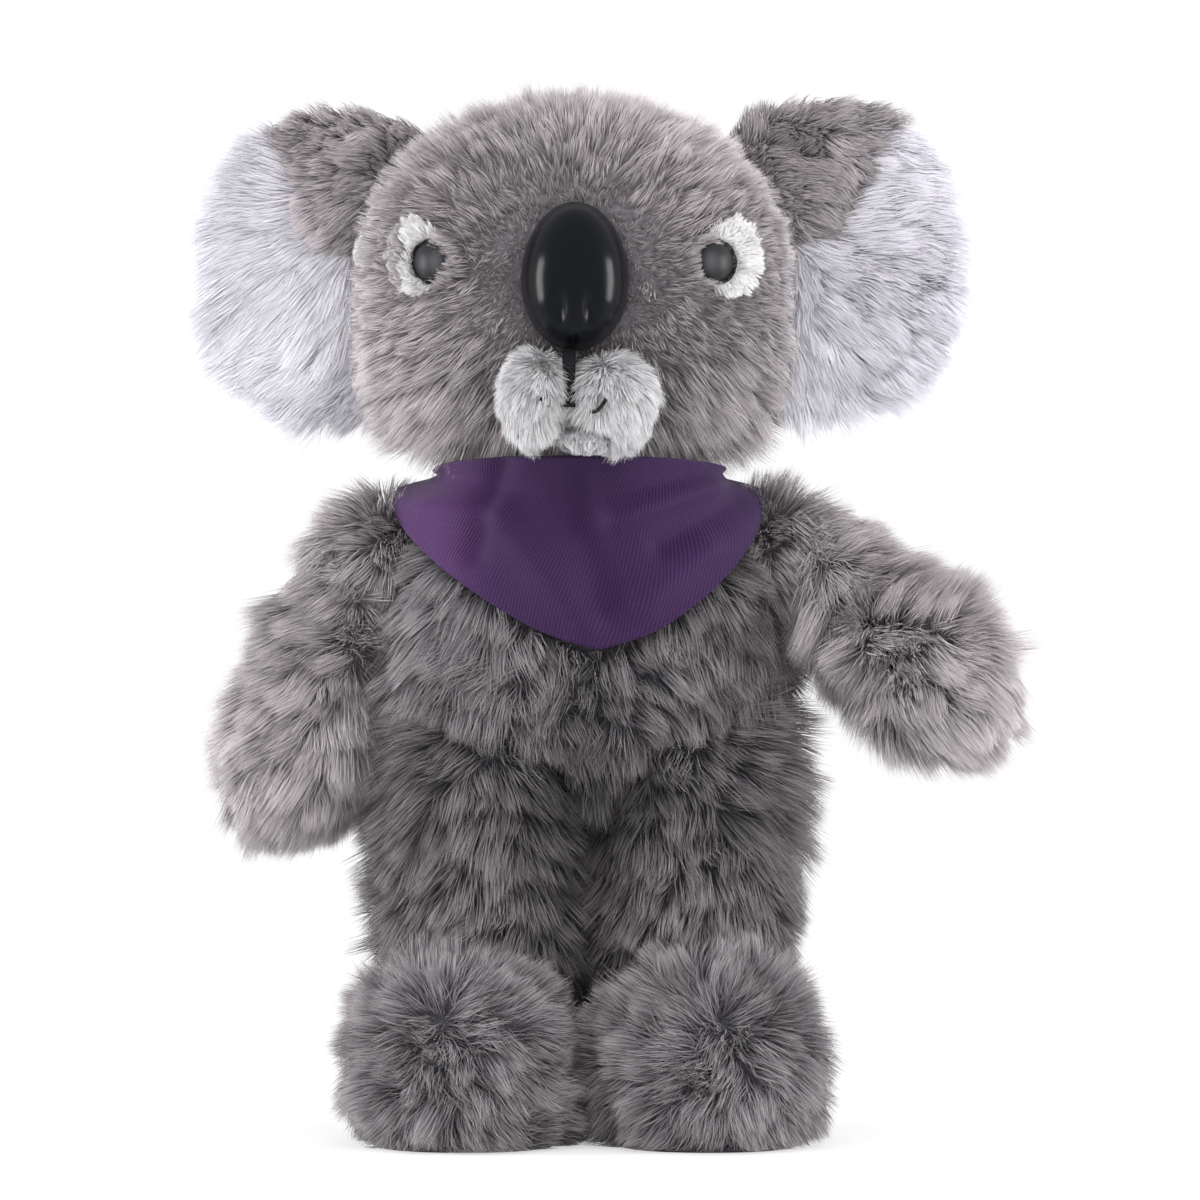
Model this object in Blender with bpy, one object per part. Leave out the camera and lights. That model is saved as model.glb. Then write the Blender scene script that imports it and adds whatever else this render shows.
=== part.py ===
"""A standing plush koala with a tied bandana, as its stuffed, sewn and moulded pieces at real size.

The koala faces -Y, its own left side is +X, and it stands on its soles at z = 0.
All shapes are written in the koala's own frame, whose middle plane is x = 0. One empty
carries every piece and puts the middle of the whole toy over the origin.
"""

import math

import bmesh
import bpy
import numpy as np
from mathutils import Matrix, Vector

# Where the koala's own frame lies, so that the posed toy is centred over the origin
MIDDLE_X = -0.0080
MIDDLE_Y = 0.0080

# Clearance between pieces that touch, and how far a cut runs past what it cuts
CLEAR = 0.0003
OVERRUN = 0.0040

# Torso: heights of its ends, and its largest half width and depths
TORSO_X = 0.0010
TORSO_BASE = 0.0960
TORSO_TOP = 0.1900
TORSO_HALF_WIDTH = 0.0580
TORSO_FRONT = 0.0440
TORSO_BACK = 0.0400
TORSO_SQUARENESS = 2.3
TORSO_RINGS = 14
TORSO_SIDES = 28
# Height, half width and depth up the torso
TORSO_SHARES = (
    (0.00, 0.50, 0.55),
    (0.06, 0.84, 0.84),
    (0.16, 0.96, 0.95),
    (0.30, 1.00, 1.00),
    (0.50, 0.98, 0.99),
    (0.66, 0.94, 0.94),
    (0.80, 0.85, 0.84),
    (0.91, 0.67, 0.70),
    (0.98, 0.46, 0.52),
    (1.00, 0.28, 0.34),
)

# Neck: the stuffed stem, round where the head turns and nods on it
NECK_SEAT = 0.0070
NECK_Z = TORSO_TOP + NECK_SEAT
NECK_RADIUS = 0.0220
NECK_RINGS = 11
NECK_SIDES = 24

# Head: a broad stuffed ellipsoid, flat on top, with full cheeks
HEAD_X = -0.0014
HEAD_RAISE = 0.0535
HEAD_Z = NECK_Z + HEAD_RAISE
HEAD_HALF_WIDTH = 0.0625
HEAD_TOP = 0.0500
HEAD_BASE = 0.0495
HEAD_FRONT = 0.0500
HEAD_BACK = 0.0480
HEAD_PLAN_SQUARENESS = 2.2
HEAD_TOP_SQUARENESS = 2.05
HEAD_CHEEK_SQUARENESS = 3.8
HEAD_CHIN_SQUARENESS = 2.4
HEAD_RINGS = 19
HEAD_SIDES = 32

# Shoulders: the round stuffed roots that the arms turn on
SHOULDER_INSET = 0.0010
SHOULDER_X = TORSO_HALF_WIDTH - SHOULDER_INSET
SHOULDER_Y = 0.0030
SHOULDER_DROP = 0.0210
SHOULDER_Z = TORSO_TOP - SHOULDER_DROP
SHOULDER_RADIUS = 0.0155
SHOULDER_RINGS = 9
SHOULDER_SIDES = 20

# Arms: length from the shoulder to the tip of the paw, and largest half width and depth
ARM_LENGTH = 0.0840
ARM_HALF_WIDTH = 0.0200
ARM_HALF_DEPTH = 0.0205
ARM_HANG = math.radians(22)
ARM_RINGS = 12
ARM_SIDES = 20
# Distance down the arm and how thick it is there, before the round tip
ARM_SHARES = (
    (0.00, 0.90),
    (0.20, 0.95),
    (0.45, 0.93),
    (0.72, 1.00),
    (1.00, 0.97),
)
ARM_TIP_SHARE = 0.66
# The arm's flat inner side, which keeps it clear of the flank as it swings
ARM_NEAR_GAP = 0.0010
ARM_NEAR_X = TORSO_HALF_WIDTH + ARM_NEAR_GAP
ARM_NEAR_RADIUS = 0.0240
ARM_FLANK_GAP = 0.0030
ARM_FLANK_X = TORSO_HALF_WIDTH + ARM_FLANK_GAP
ARM_FLANK_RADIUS = 0.0340
FLANK_SIDES = 32
# The +X arm is held up in the photograph
RAISED_SWING = math.radians(35)
RAISED_RAISE = math.radians(26)

# Legs: the hip's axis and round top, and the shank's size
LEGS_MIDDLE_X = 0.0022
HIP_SPREAD = 0.0300
HIP_Z = 0.1060
HIP_RADIUS = 0.0325
LEG_HALF_WIDTH = 0.0268
LEG_ANKLE_HALF_WIDTH = 0.0262
LEG_ANKLE_HALF_DEPTH = 0.0300
LEG_ANKLE_SPREAD = 0.0305
LEG_END = 0.0340
LEG_SQUARENESS = 2.3
LEG_RINGS = 12
LEG_SIDES = 24
HIP_FORWARD = math.radians(57)
HIP_BACKWARD = math.radians(21)
HIP_ARC_STEPS = 14
HIP_SLICES = 14
HIP_CLEAR = 0.0006

# Feet: full paws that bulge forward, each with its own sole panel
FOOT_SPREAD = 0.0350
FOOT_Y = -0.0110
FOOT_HALF_WIDTH = 0.0310
FOOT_FRONT = 0.0470
FOOT_BACK = 0.0410
FOOT_HEIGHT = 0.0600
FOOT_SQUARENESS = 2.3
FOOT_RINGS = 10
FOOT_SIDES = 28
# Height, and how wide and deep the paw is there
FOOT_SHARES = (
    (0.00, 0.90),
    (0.12, 0.97),
    (0.32, 1.00),
    (0.55, 0.94),
    (0.75, 0.78),
    (0.90, 0.53),
    (0.98, 0.25),
)
SOLE_THICKNESS = 0.0015
SOLE_SHARE = 0.88
# The soles are cut flat this deep from their rounded edge
SOLE_ROUND = 0.0005

# Muzzle: two stuffed lobes of short white plush beside a sewn groove, and a chin roll
MUZZLE_SEAM_X = -0.0026
MUZZLE_Y = -HEAD_FRONT
MUZZLE_DEPTH = 0.0125
MUZZLE_RIGHT_HALF_WIDTH = 0.0094
MUZZLE_LEFT_HALF_WIDTH = 0.0121
MUZZLE_HALF_HEIGHT = 0.0121
MUZZLE_RIGHT_DROP = 0.0345
MUZZLE_RIGHT_Z = HEAD_Z - MUZZLE_RIGHT_DROP
MUZZLE_LEFT_DROP = 0.0355
MUZZLE_LEFT_Z = HEAD_Z - MUZZLE_LEFT_DROP
MUZZLE_SQUARENESS = 2.2
MUZZLE_RINGS = 8
MUZZLE_SIDES = 18
CHIN_X = 0.0025
CHIN_PROUD = 0.0015
CHIN_Y = -HEAD_FRONT - CHIN_PROUD
CHIN_DROP = 0.0475
CHIN_Z = HEAD_Z - CHIN_DROP
CHIN_HALF_WIDTH = 0.0095
CHIN_DEPTH = 0.0060
CHIN_HALF_HEIGHT = 0.0045
CHIN_RINGS = 6
CHIN_SIDES = 16

# Nose: a moulded egg, narrower at the top, on a shank with a washer inside the head
NOSE_X = -0.0009
NOSE_DROP = 0.0005
NOSE_Z = HEAD_Z - NOSE_DROP
NOSE_HALF_WIDTH = 0.0150
NOSE_HALF_HEIGHT = 0.0207
NOSE_SET_IN = 0.0035
NOSE_BACK_Y = -HEAD_FRONT + NOSE_SET_IN
NOSE_DEPTH = 0.0190
NOSE_TAPER_SHARE = 0.12
NOSE_SIDES = 28
# Depth of the egg and the size of its outline there
NOSE_SHARES = (
    (0.00, 0.90),
    (0.06, 0.97),
    (0.16, 1.00),
    (0.34, 0.97),
    (0.54, 0.87),
    (0.72, 0.72),
    (0.87, 0.50),
    (0.96, 0.27),
)
NOSE_SHANK_RADIUS = 0.0030
NOSE_SHANK_LENGTH = 0.0140
NOSE_WASHER_RADIUS = 0.0100

# Stitches: black thread in the groove and on each lobe
PHILTRUM_RADIUS = 0.0011
PHILTRUM_PROUD = 0.0075
PHILTRUM_Y = MUZZLE_Y - PHILTRUM_PROUD
PHILTRUM_TOP_PROUD = 0.0030
PHILTRUM_TOP_Y = MUZZLE_Y - PHILTRUM_TOP_PROUD
PHILTRUM_BELOW_NOSE = 0.0008
PHILTRUM_TOP_Z = NOSE_Z - NOSE_HALF_HEIGHT - PHILTRUM_BELOW_NOSE
PHILTRUM_LENGTH = 0.0165
PHILTRUM_BASE_Z = PHILTRUM_TOP_Z - PHILTRUM_LENGTH
MOUTH_RADIUS = 0.0007
MOUTH_LEFT_START_X = 0.0030
MOUTH_LEFT_END_X = 0.0086
MOUTH_LEFT_START_DROP = 0.0045
MOUTH_LEFT_END_DROP = 0.0005
MOUTH_RIGHT_START_X = -0.0074
MOUTH_RIGHT_END_X = -0.0118
MOUTH_RIGHT_START_DROP = 0.0045
MOUTH_RIGHT_END_DROP = 0.0
MOUTH_SAG = 0.0012
STITCH_SIDES = 8
STITCH_STEPS = 7

# Eyes: domed buttons on shanks, turned outward, with washers inside the head
EYE_SPREAD = 0.0412
EYE_RISE = 0.0030
EYE_Z = HEAD_Z + EYE_RISE
EYE_OUTWARD = math.radians(47)
EYE_RADIUS = 0.0060
EYE_DOME = 0.0042
EYE_RIM = 0.0012
EYE_PROUD = 0.0002
EYE_SHANK_RADIUS = 0.0020
EYE_SHANK_LENGTH = 0.0110
EYE_WASHER_RADIUS = 0.0065
EYE_SIDES = 20
EYE_RINGS = 5
WASHER_THICKNESS = 0.0016
WASHER_STAND = 0.0060

# Eye patches: a white plush oval behind each eye, set outward of it
PATCH_SPREAD = 0.0448
PATCH_RISE = 0.0043
PATCH_Z = HEAD_Z + PATCH_RISE
PATCH_HALF_WIDTH = 0.0078
PATCH_HALF_HEIGHT = 0.0112
PATCH_THICKNESS = 0.0015
PATCH_SIDES = 20
PATCH_RINGS = 3

# Ears: a white plush front and a grey plush back, sewn at the rim, hinged at the head's side
EAR_FOLD_X = 0.0600
EAR_Y = 0.0040
EAR_RIGHT_X = 0.0680
EAR_LEFT_X = 0.0715
EAR_RIGHT_RISE = 0.0020
EAR_LEFT_RISE = 0.0050
EAR_HALF_WIDTH = 0.0385
EAR_HALF_HEIGHT = 0.0455
EAR_SQUARENESS = 2.4
EAR_LEAN = math.radians(6)
EAR_FRONT_THICKNESS = 0.0045
EAR_BACK_THICKNESS = 0.0055
EAR_CUP = 0.0070
EAR_SIDES = 30
EAR_RINGS = 5
EAR_FULLNESS = 5
EAR_RIM_SHARE = 0.35
EAR_FOLD_LIMIT = math.radians(25)
EAR_HEAD_GAP = 0.0006

# Bandana: one cloth, a band round the neck above and a triangle over the chest
CLOTH_THICKNESS = 0.0014
BAND_TOP_FRONT = 0.1978
BAND_TOP_BACK = 0.1900
# Turn from the front, and how high the lower edge lies there
BAND_EDGE = (
    (0, 0.1435),
    (15, 0.1470),
    (30, 0.1555),
    (45, 0.1650),
    (58, 0.1725),
    (70, 0.1785),
    (80, 0.1835),
    (90, 0.1868),
    (105, 0.1875),
    (135, 0.1840),
    (180, 0.1800),
)
BAND_TIP_SHIFT = 0.0060
BAND_FOLD = 0.0008
BAND_SQUARENESS = 2.3
BAND_STEPS = 60
# Share of the way down, half width, depth in front, depth behind
BAND_HALF_WIDTH = 0.0530
BAND_FRONT = 0.0488
BAND_BACK = 0.0370
BAND_SHARES = (
    (0.00, 0.79, 0.92, 0.93),
    (0.18, 0.77, 0.89, 0.92),
    (0.34, 0.86, 0.92, 0.96),
    (0.56, 0.96, 0.97, 1.00),
    (0.78, 1.00, 0.99, 1.01),
    (1.00, 1.00, 1.00, 1.02),
)
BAND_ROWS = 9
BAND_SAMPLES = 81
BAND_FOLDS = 6

# Knot and tails behind the neck
KNOT_Z = 0.1855
KNOT_HALF_WIDTH = 0.0090
KNOT_DEPTH = 0.0055
KNOT_HALF_HEIGHT = 0.0062
KNOT_SQUARENESS = 2.2
KNOT_RINGS = 7
KNOT_SIDES = 16
TAIL_LENGTH = 0.0300
TAIL_HALF_WIDTH = 0.0070
TAIL_SPREAD = math.radians(24)
TAIL_ROOT_X = 0.0040
# Distance down a tail and its width there
TAIL_SHARES = ((0.0, 0.55), (0.25, 0.9), (0.5, 1.0), (0.75, 0.75), (1.0, 0.15))

# Colours from the photograph, and the roughness of plush, cloth and plastic
GREY_FUR = (0.27, 0.25, 0.26)
DARK_FUR = (0.12, 0.115, 0.125)
WHITE_FUR = (0.68, 0.66, 0.74)
MUZZLE_FUR = (0.62, 0.62, 0.64)
PURPLE = (0.070, 0.024, 0.122)
BLACK = (0.006, 0.007, 0.010)
EYE_BLACK = (0.020, 0.020, 0.022)
NYLON = (0.75, 0.75, 0.72)
THREAD = (0.010, 0.010, 0.012)
SOFT = 0.95
CLOTH = 0.85
GLOSSY = 0.12
SATIN = 0.45


def clear_scene():
    """Takes every object out of the open file."""
    for one in list(bpy.data.objects):
        bpy.data.objects.remove(one, do_unlink=True)


def material(name, colour, roughness):
    """One Principled material for one piece."""
    made = bpy.data.materials.new(name)
    made.use_nodes = True
    shader = made.node_tree.nodes["Principled BSDF"]
    shader.inputs["Base Color"].default_value = (*colour, 1)
    shader.inputs["Roughness"].default_value = roughness
    shader.inputs["Metallic"].default_value = 0
    return made


def new_object(name, vertices, faces, colour=GREY_FUR, roughness=SOFT):
    """An object from points and faces, with its faces turned outward and shaded smooth."""
    mesh = bpy.data.meshes.new(name)
    mesh.from_pydata([tuple(v) for v in vertices], [], faces)
    edited = bmesh.new()
    edited.from_mesh(mesh)
    bmesh.ops.recalc_face_normals(edited, faces=edited.faces)
    edited.to_mesh(mesh)
    edited.free()
    mesh.materials.append(material(name, colour, roughness))
    mesh.shade_smooth()
    made = bpy.data.objects.new(name, mesh)
    bpy.context.collection.objects.link(made)
    return made


def read_shares(rows, count):
    """The rows of a share table, read at even steps of a smooth curve through them."""
    rows = np.asarray(rows, float)
    ends = np.vstack([2 * rows[0] - rows[1], rows, 2 * rows[-1] - rows[-2]])
    at = np.linspace(0, len(rows) - 1, count)
    row = np.minimum(at.astype(int), len(rows) - 2)
    t = (at - row)[:, None]
    a, b, c, d = (ends[row + k] for k in range(4))
    cubic = (c - a) * t + (2 * a - 5 * b + 4 * c - d) * t**2 + (3 * b - a - 3 * c + d) * t**3
    return b + cubic / 2


def signed_power(value, power):
    """|value| to a power, with value's own sign."""
    return np.sign(value) * np.abs(value) ** power


def plan_ring(half_width, front, back, squareness, sides):
    """A superellipse in plan, whose front and back depths may differ."""
    turn = np.arange(sides) * 2 * math.pi / sides
    x = half_width * signed_power(np.cos(turn), 2 / squareness)
    depth = np.where(np.sin(turn) < 0, front, back)
    y = depth * signed_power(np.sin(turn), 2 / squareness)
    return np.column_stack([x, y, np.zeros(sides)])


def loft(name, rings, start=None, end=None, colour=GREY_FUR, roughness=SOFT):
    """A closed skin through a stack of like rings. An end is one point, or a flat lid."""
    sides = len(rings[0])
    vertices = [tuple(v) for ring in rings for v in ring]
    faces = []
    for k in range(len(rings) - 1):
        for i in range(sides):
            j = (i + 1) % sides
            low, high = k * sides, (k + 1) * sides
            faces.append((low + i, low + j, high + j, high + i))
    for point, first in ((start, 0), (end, (len(rings) - 1) * sides)):
        if point is None:
            faces.append(tuple(range(first, first + sides)))
            continue
        vertices.append(tuple(point))
        tip = len(vertices) - 1
        faces += [(first + i, first + (i + 1) % sides, tip) for i in range(sides)]
    return new_object(name, vertices, faces, colour, roughness)


def tube(name, points, radius, sides, colour, roughness):
    """A round thread along a list of points."""
    points = [Vector(p) for p in points]
    rings = []
    for k, point in enumerate(points):
        ahead = points[min(k + 1, len(points) - 1)] - points[max(k - 1, 0)]
        across = ahead.orthogonal().normalized()
        if across.dot(Vector((1, 0, 0))) < 0:
            across.negate()
        side = Vector((1, 0, 0)).cross(ahead).normalized()
        across = ahead.cross(side).normalized()
        turns = [2 * math.pi * i / sides for i in range(sides)]
        rings.append([point + radius * (math.cos(t) * across + math.sin(t) * side) for t in turns])
    return loft(name, rings, None, None, colour, roughness)


def ball(name, centre, half, rings, sides, colour=GREY_FUR, squareness=2.0, roughness=SOFT):
    """An ellipsoid with half sizes along x, y and z."""
    stack = []
    for k in range(1, rings + 1):
        rise = math.pi * (k / (rings + 1) - 0.5)
        share = math.cos(rise)
        ring = plan_ring(half[0] * share, half[1] * share, half[1] * share, squareness, sides)
        ring[:, 2] = half[2] * math.sin(rise)
        stack.append(ring + centre)
    centre = np.asarray(centre, float)
    low = centre - (0, 0, half[2])
    high = centre + (0, 0, half[2])
    return loft(name, stack, low, high, colour, roughness)


def turned(name, profile, centre, axis, sides, colour, roughness):
    """A round piece from (radius, height) pairs along an axis, closed at its ends."""
    stack = []
    turn = np.arange(sides) * 2 * math.pi / sides
    matrix = axis.to_track_quat("Z", "Y").to_matrix()
    start = end = None
    for k, (radius, height) in enumerate(profile):
        if radius == 0:
            point = Vector(centre) + matrix @ Vector((0, 0, height))
            start, end = (point, end) if k == 0 else (start, point)
            continue
        ring = np.column_stack([radius * np.cos(turn), radius * np.sin(turn), np.full(sides, height)])
        stack.append([Vector(centre) + matrix @ Vector(v) for v in ring])
    return loft(name, stack, start, end, colour, roughness)


def boolean(target, cutter, operation="DIFFERENCE"):
    """Cuts, joins or keeps what two closed bodies share, and takes the cutter away."""
    change = target.modifiers.new(operation.lower(), "BOOLEAN")
    change.operation = operation
    change.object = cutter
    change.solver = "EXACT"
    bpy.context.view_layer.update()
    graph = bpy.context.evaluated_depsgraph_get()
    result = bpy.data.meshes.new_from_object(target.evaluated_get(graph))
    target.modifiers.clear()
    old = target.data
    result.name = old.name
    keep = old.materials[0]
    result.materials.clear()
    result.materials.append(keep)
    target.data = result
    bpy.data.meshes.remove(old)
    bpy.data.objects.remove(cutter, do_unlink=True)


def seat_on(target, pivot, rest=None):
    """Puts a piece's origin on its joint, and turns it to its rest pose."""
    target.data.transform(Matrix.Translation(-Vector(pivot)))
    target.location = Vector(pivot)
    if rest is not None:
        target.rotation_mode = "QUATERNION"
        target.rotation_quaternion = rest.to_quaternion()


def dome_share(height, squareness):
    """Width of a superellipse at a share of its height."""
    return (1 - np.abs(height) ** squareness) ** (1 / squareness)


def head_sizes(z):
    """Half width, front depth and back depth of the head at a height."""
    z = np.asarray(z, float)
    above = z >= HEAD_Z
    height = np.where(above, (z - HEAD_Z) / HEAD_TOP, (z - HEAD_Z) / HEAD_BASE)
    height = np.clip(height, -1, 1)
    wide = dome_share(height, np.where(above, HEAD_TOP_SQUARENESS, HEAD_CHEEK_SQUARENESS))
    deep = dome_share(height, np.where(above, HEAD_TOP_SQUARENESS, HEAD_CHIN_SQUARENESS))
    return HEAD_HALF_WIDTH * wide, HEAD_FRONT * deep, HEAD_BACK * deep


def head_body(name, grow=0.0):
    """The head's stuffed shell, or a copy grown by a clearance."""
    stack = []
    for k in range(1, HEAD_RINGS + 1):
        rise = math.pi * (k / (HEAD_RINGS + 1) - 0.5)
        reach = (HEAD_TOP if rise > 0 else HEAD_BASE) * math.sin(rise)
        wide, front, back = head_sizes(HEAD_Z + reach)
        ring = plan_ring(wide + grow, front + grow, back + grow, HEAD_PLAN_SQUARENESS, HEAD_SIDES)
        lift = grow * math.sin(rise)
        stack.append(ring + (HEAD_X, 0, HEAD_Z + reach + lift))
    low = (HEAD_X, 0, HEAD_Z - HEAD_BASE - grow)
    high = (HEAD_X, 0, HEAD_Z + HEAD_TOP + grow)
    return loft(name, stack, low, high, GREY_FUR, SOFT)


def head_face(x, z):
    """Where the front of the head lies at a place seen from the front."""
    wide, front, _ = head_sizes(z)
    across = np.clip(np.abs((np.asarray(x, float) - HEAD_X) / wide), 0, 1)
    return -front * dome_share(across, HEAD_PLAN_SQUARENESS)


def on_face(x, z, lift):
    """Points on the head's front, lifted off it along its own normal."""
    step = CLEAR
    y = head_face(x, z)
    slope_x = (head_face(x + step, z) - head_face(x - step, z)) / (2 * step)
    slope_z = (head_face(x, z + step) - head_face(x, z - step)) / (2 * step)
    normal = np.column_stack([slope_x, -np.ones_like(y), slope_z])
    normal /= np.linalg.norm(normal, axis=1)[:, None]
    return np.column_stack([x, y, z]) + lift * normal


def make_torso():
    """The stuffed body: belly, chest and shoulders, with sockets for neck, arms and legs."""
    rows = read_shares(TORSO_SHARES, TORSO_RINGS)
    stack = []
    for height, wide, deep in rows:
        z = TORSO_BASE + height * (TORSO_TOP - TORSO_BASE)
        ring = plan_ring(
            TORSO_HALF_WIDTH * wide, TORSO_FRONT * deep, TORSO_BACK * deep, TORSO_SQUARENESS, TORSO_SIDES
        )
        stack.append(ring + (TORSO_X, 0, z))
    torso = loft("torso", stack, (TORSO_X, 0, TORSO_BASE), (TORSO_X, 0, TORSO_TOP), DARK_FUR, SOFT)
    boolean(torso, neck_ball("neck_socket", True))
    for side in (-1, 1):
        boolean(torso, shoulder_ball("arm_socket", side, True))
        boolean(torso, hip_socket(side))
    return torso


def round_of(name, centre, radius, rings, sides, socket):
    """A round that turns in its socket. The socket's flats lie outside the round by the clearance."""
    size = radius
    if socket:
        flat = math.cos(math.pi / sides) * math.cos(math.pi / (2 * (rings + 1)))
        size = (radius + CLEAR) / flat
    return ball(name, centre, (size, size, size), rings, sides, GREY_FUR)


def neck_ball(name, socket=False):
    """The neck's stuffed round, or the hollow that it turns in."""
    return round_of(name, (0, 0, NECK_Z), NECK_RADIUS, NECK_RINGS, NECK_SIDES, socket)


def shoulder_ball(name, side, socket=False):
    """The round root of one arm, or the hollow that it turns in."""
    centre = (side * SHOULDER_X, SHOULDER_Y, SHOULDER_Z)
    return round_of(name, centre, SHOULDER_RADIUS, SHOULDER_RINGS, SHOULDER_SIDES, socket)


def hip_x(side):
    """Where a hip lies from side to side."""
    return LEGS_MIDDLE_X + side * HIP_SPREAD


def hip_radius(across):
    """How far a leg's round top reaches from the hip's axis, at a share of its half width."""
    return HIP_RADIUS * dome_share(across, LEG_SQUARENESS)


def hip_outline(radius):
    """What one slice of a leg sweeps under the torso, from full backward swing to full forward swing."""
    reach = TORSO_FRONT + HIP_RADIUS
    first = math.pi / 2 - HIP_FORWARD
    last = -(math.pi / 2 - HIP_BACKWARD)
    front = reach * math.cos(first) + radius * math.sin(first)
    outline = [(front, radius * math.cos(first) - reach * math.sin(first))]
    for k in range(HIP_ARC_STEPS + 1):
        turn = first + (last - first) * k / HIP_ARC_STEPS
        outline.append((radius * math.sin(turn), radius * math.cos(turn)))
    back = radius * math.sin(last) - reach * math.cos(last)
    outline.append((back, radius * math.cos(last) + reach * math.sin(last)))
    outline += [(-reach - HIP_RADIUS, -reach), (reach + HIP_RADIUS, -reach)]
    return outline


def hip_socket(side):
    """The snug hollow that one leg turns in: its slices follow the leg's round top from side to side."""
    flat = math.cos(math.pi / (2 * HIP_SLICES)) * math.cos(math.pi / (4 * HIP_ARC_STEPS))
    half = (LEG_HALF_WIDTH + HIP_CLEAR) / flat
    rings = []
    for k in range(HIP_SLICES + 1):
        across = -math.cos(math.pi * k / HIP_SLICES)
        radius = HIP_CLEAR + float(hip_radius(across)) / flat
        x = hip_x(side) + across * half
        rings.append([(x, -front, HIP_Z + up) for front, up in hip_outline(radius)])
    return loft("hip_socket", rings)


def limb_profile(distance):
    """How thick the arm is at a share of its length, with its round tip."""
    table = np.asarray(ARM_SHARES)
    swell = np.interp(distance, table[:, 0], table[:, 1])
    past = np.clip((distance - ARM_TIP_SHARE) / (1 - ARM_TIP_SHARE), 0, 1)
    return swell * np.sqrt(1 - past**2)


def make_arm(name, side):
    """One stuffed arm: swelling to the paw, cupped on its shoulder, flat against the flank."""
    stack = []
    for k in range(ARM_RINGS):
        distance = math.sin(math.pi / 2 * k / ARM_RINGS)
        size = float(limb_profile(distance))
        ring = plan_ring(ARM_HALF_WIDTH * size, ARM_HALF_DEPTH * size, ARM_HALF_DEPTH * size, 2, ARM_SIDES)
        stack.append(ring - (0, 0, ARM_LENGTH * distance))
    arm = loft(name, stack, None, (0, 0, -ARM_LENGTH), GREY_FUR, SOFT)
    pivot = Vector((side * SHOULDER_X, SHOULDER_Y, SHOULDER_Z))
    hang = Matrix.Rotation(-side * ARM_HANG, 4, "Y")
    arm.data.transform(Matrix.Translation(pivot) @ hang)
    boolean(arm, shoulder_ball("shoulder_cut", side, True))
    boolean(arm, flank_disc(side))
    rest = Matrix.Identity(3)
    if side > 0:
        rest = Matrix.Rotation(-RAISED_SWING, 3, "X") @ Matrix.Rotation(-RAISED_RAISE, 3, "Y")
    seat_on(arm, pivot, rest)
    return arm


def flank_disc(side):
    """The space that belongs to the torso as the arm swings past it: a disc dished at its middle."""
    far = ARM_LENGTH + ARM_HALF_WIDTH + OVERRUN
    profile = (
        (0, -SHOULDER_X),
        (far, -SHOULDER_X),
        (far, ARM_FLANK_X - SHOULDER_X),
        (ARM_FLANK_RADIUS, ARM_FLANK_X - SHOULDER_X),
        (ARM_NEAR_RADIUS, ARM_NEAR_X - SHOULDER_X),
        (0, ARM_NEAR_X - SHOULDER_X),
    )
    centre = (side * SHOULDER_X, SHOULDER_Y, SHOULDER_Z)
    return turned("flank", profile, centre, Vector((side, 0, 0)), FLANK_SIDES, GREY_FUR, SOFT)


def make_leg(name, side):
    """One stuffed shank: a round top about the hip's axis, narrowing to the ankle."""
    stack = []
    for k in range(1, LEG_RINGS // 2 + 1):
        rise = math.pi / 2 * (1 - k / (LEG_RINGS // 2))
        up = HIP_RADIUS * math.sin(rise)
        turn = np.arange(LEG_SIDES) * 2 * math.pi / LEG_SIDES
        across = dome_share(up / HIP_RADIUS, LEG_SQUARENESS) * np.cos(turn)
        deep = np.sqrt(np.clip(hip_radius(across) ** 2 - up**2, 0, None)) * np.sign(np.sin(turn))
        ring = np.column_stack([LEG_HALF_WIDTH * across, deep, np.zeros(LEG_SIDES)])
        stack.append(ring + (hip_x(side), 0, HIP_Z + up))
    for k in range(1, LEG_RINGS // 2 + 1):
        down = k / (LEG_RINGS // 2)
        ease = down * down * (3 - 2 * down)
        wide = LEG_HALF_WIDTH + (LEG_ANKLE_HALF_WIDTH - LEG_HALF_WIDTH) * ease
        deep = HIP_RADIUS + (LEG_ANKLE_HALF_DEPTH - HIP_RADIUS) * ease
        x = LEGS_MIDDLE_X + side * (HIP_SPREAD + (LEG_ANKLE_SPREAD - HIP_SPREAD) * ease)
        ring = plan_ring(wide, deep, deep, LEG_SQUARENESS, LEG_SIDES)
        stack.append(ring + (x, 0, HIP_Z + (LEG_END - HIP_Z) * down))
    leg = loft(name, stack, (hip_x(side), 0, HIP_Z + HIP_RADIUS), None, DARK_FUR, SOFT)
    boolean(leg, foot_body("foot_cut", side, CLEAR))
    seat_on(leg, (hip_x(side), 0, HIP_Z))
    return leg


def foot_body(name, side, grow=0.0):
    """One full paw with a flat underside, or a copy grown by a clearance."""
    rows = read_shares(FOOT_SHARES, FOOT_RINGS)
    base = SOLE_THICKNESS + CLEAR
    foot_x = LEGS_MIDDLE_X + side * FOOT_SPREAD
    stack = []
    for height, size in rows:
        ring = plan_ring(
            FOOT_HALF_WIDTH * size + grow,
            FOOT_FRONT * size + grow,
            FOOT_BACK * size + grow,
            FOOT_SQUARENESS,
            FOOT_SIDES,
        )
        stack.append(ring + (foot_x, FOOT_Y, base + (FOOT_HEIGHT - base) * height))
    stack[0][:, 2] -= grow
    return loft(name, stack, None, (foot_x, FOOT_Y, FOOT_HEIGHT + grow), DARK_FUR, SOFT)


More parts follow.
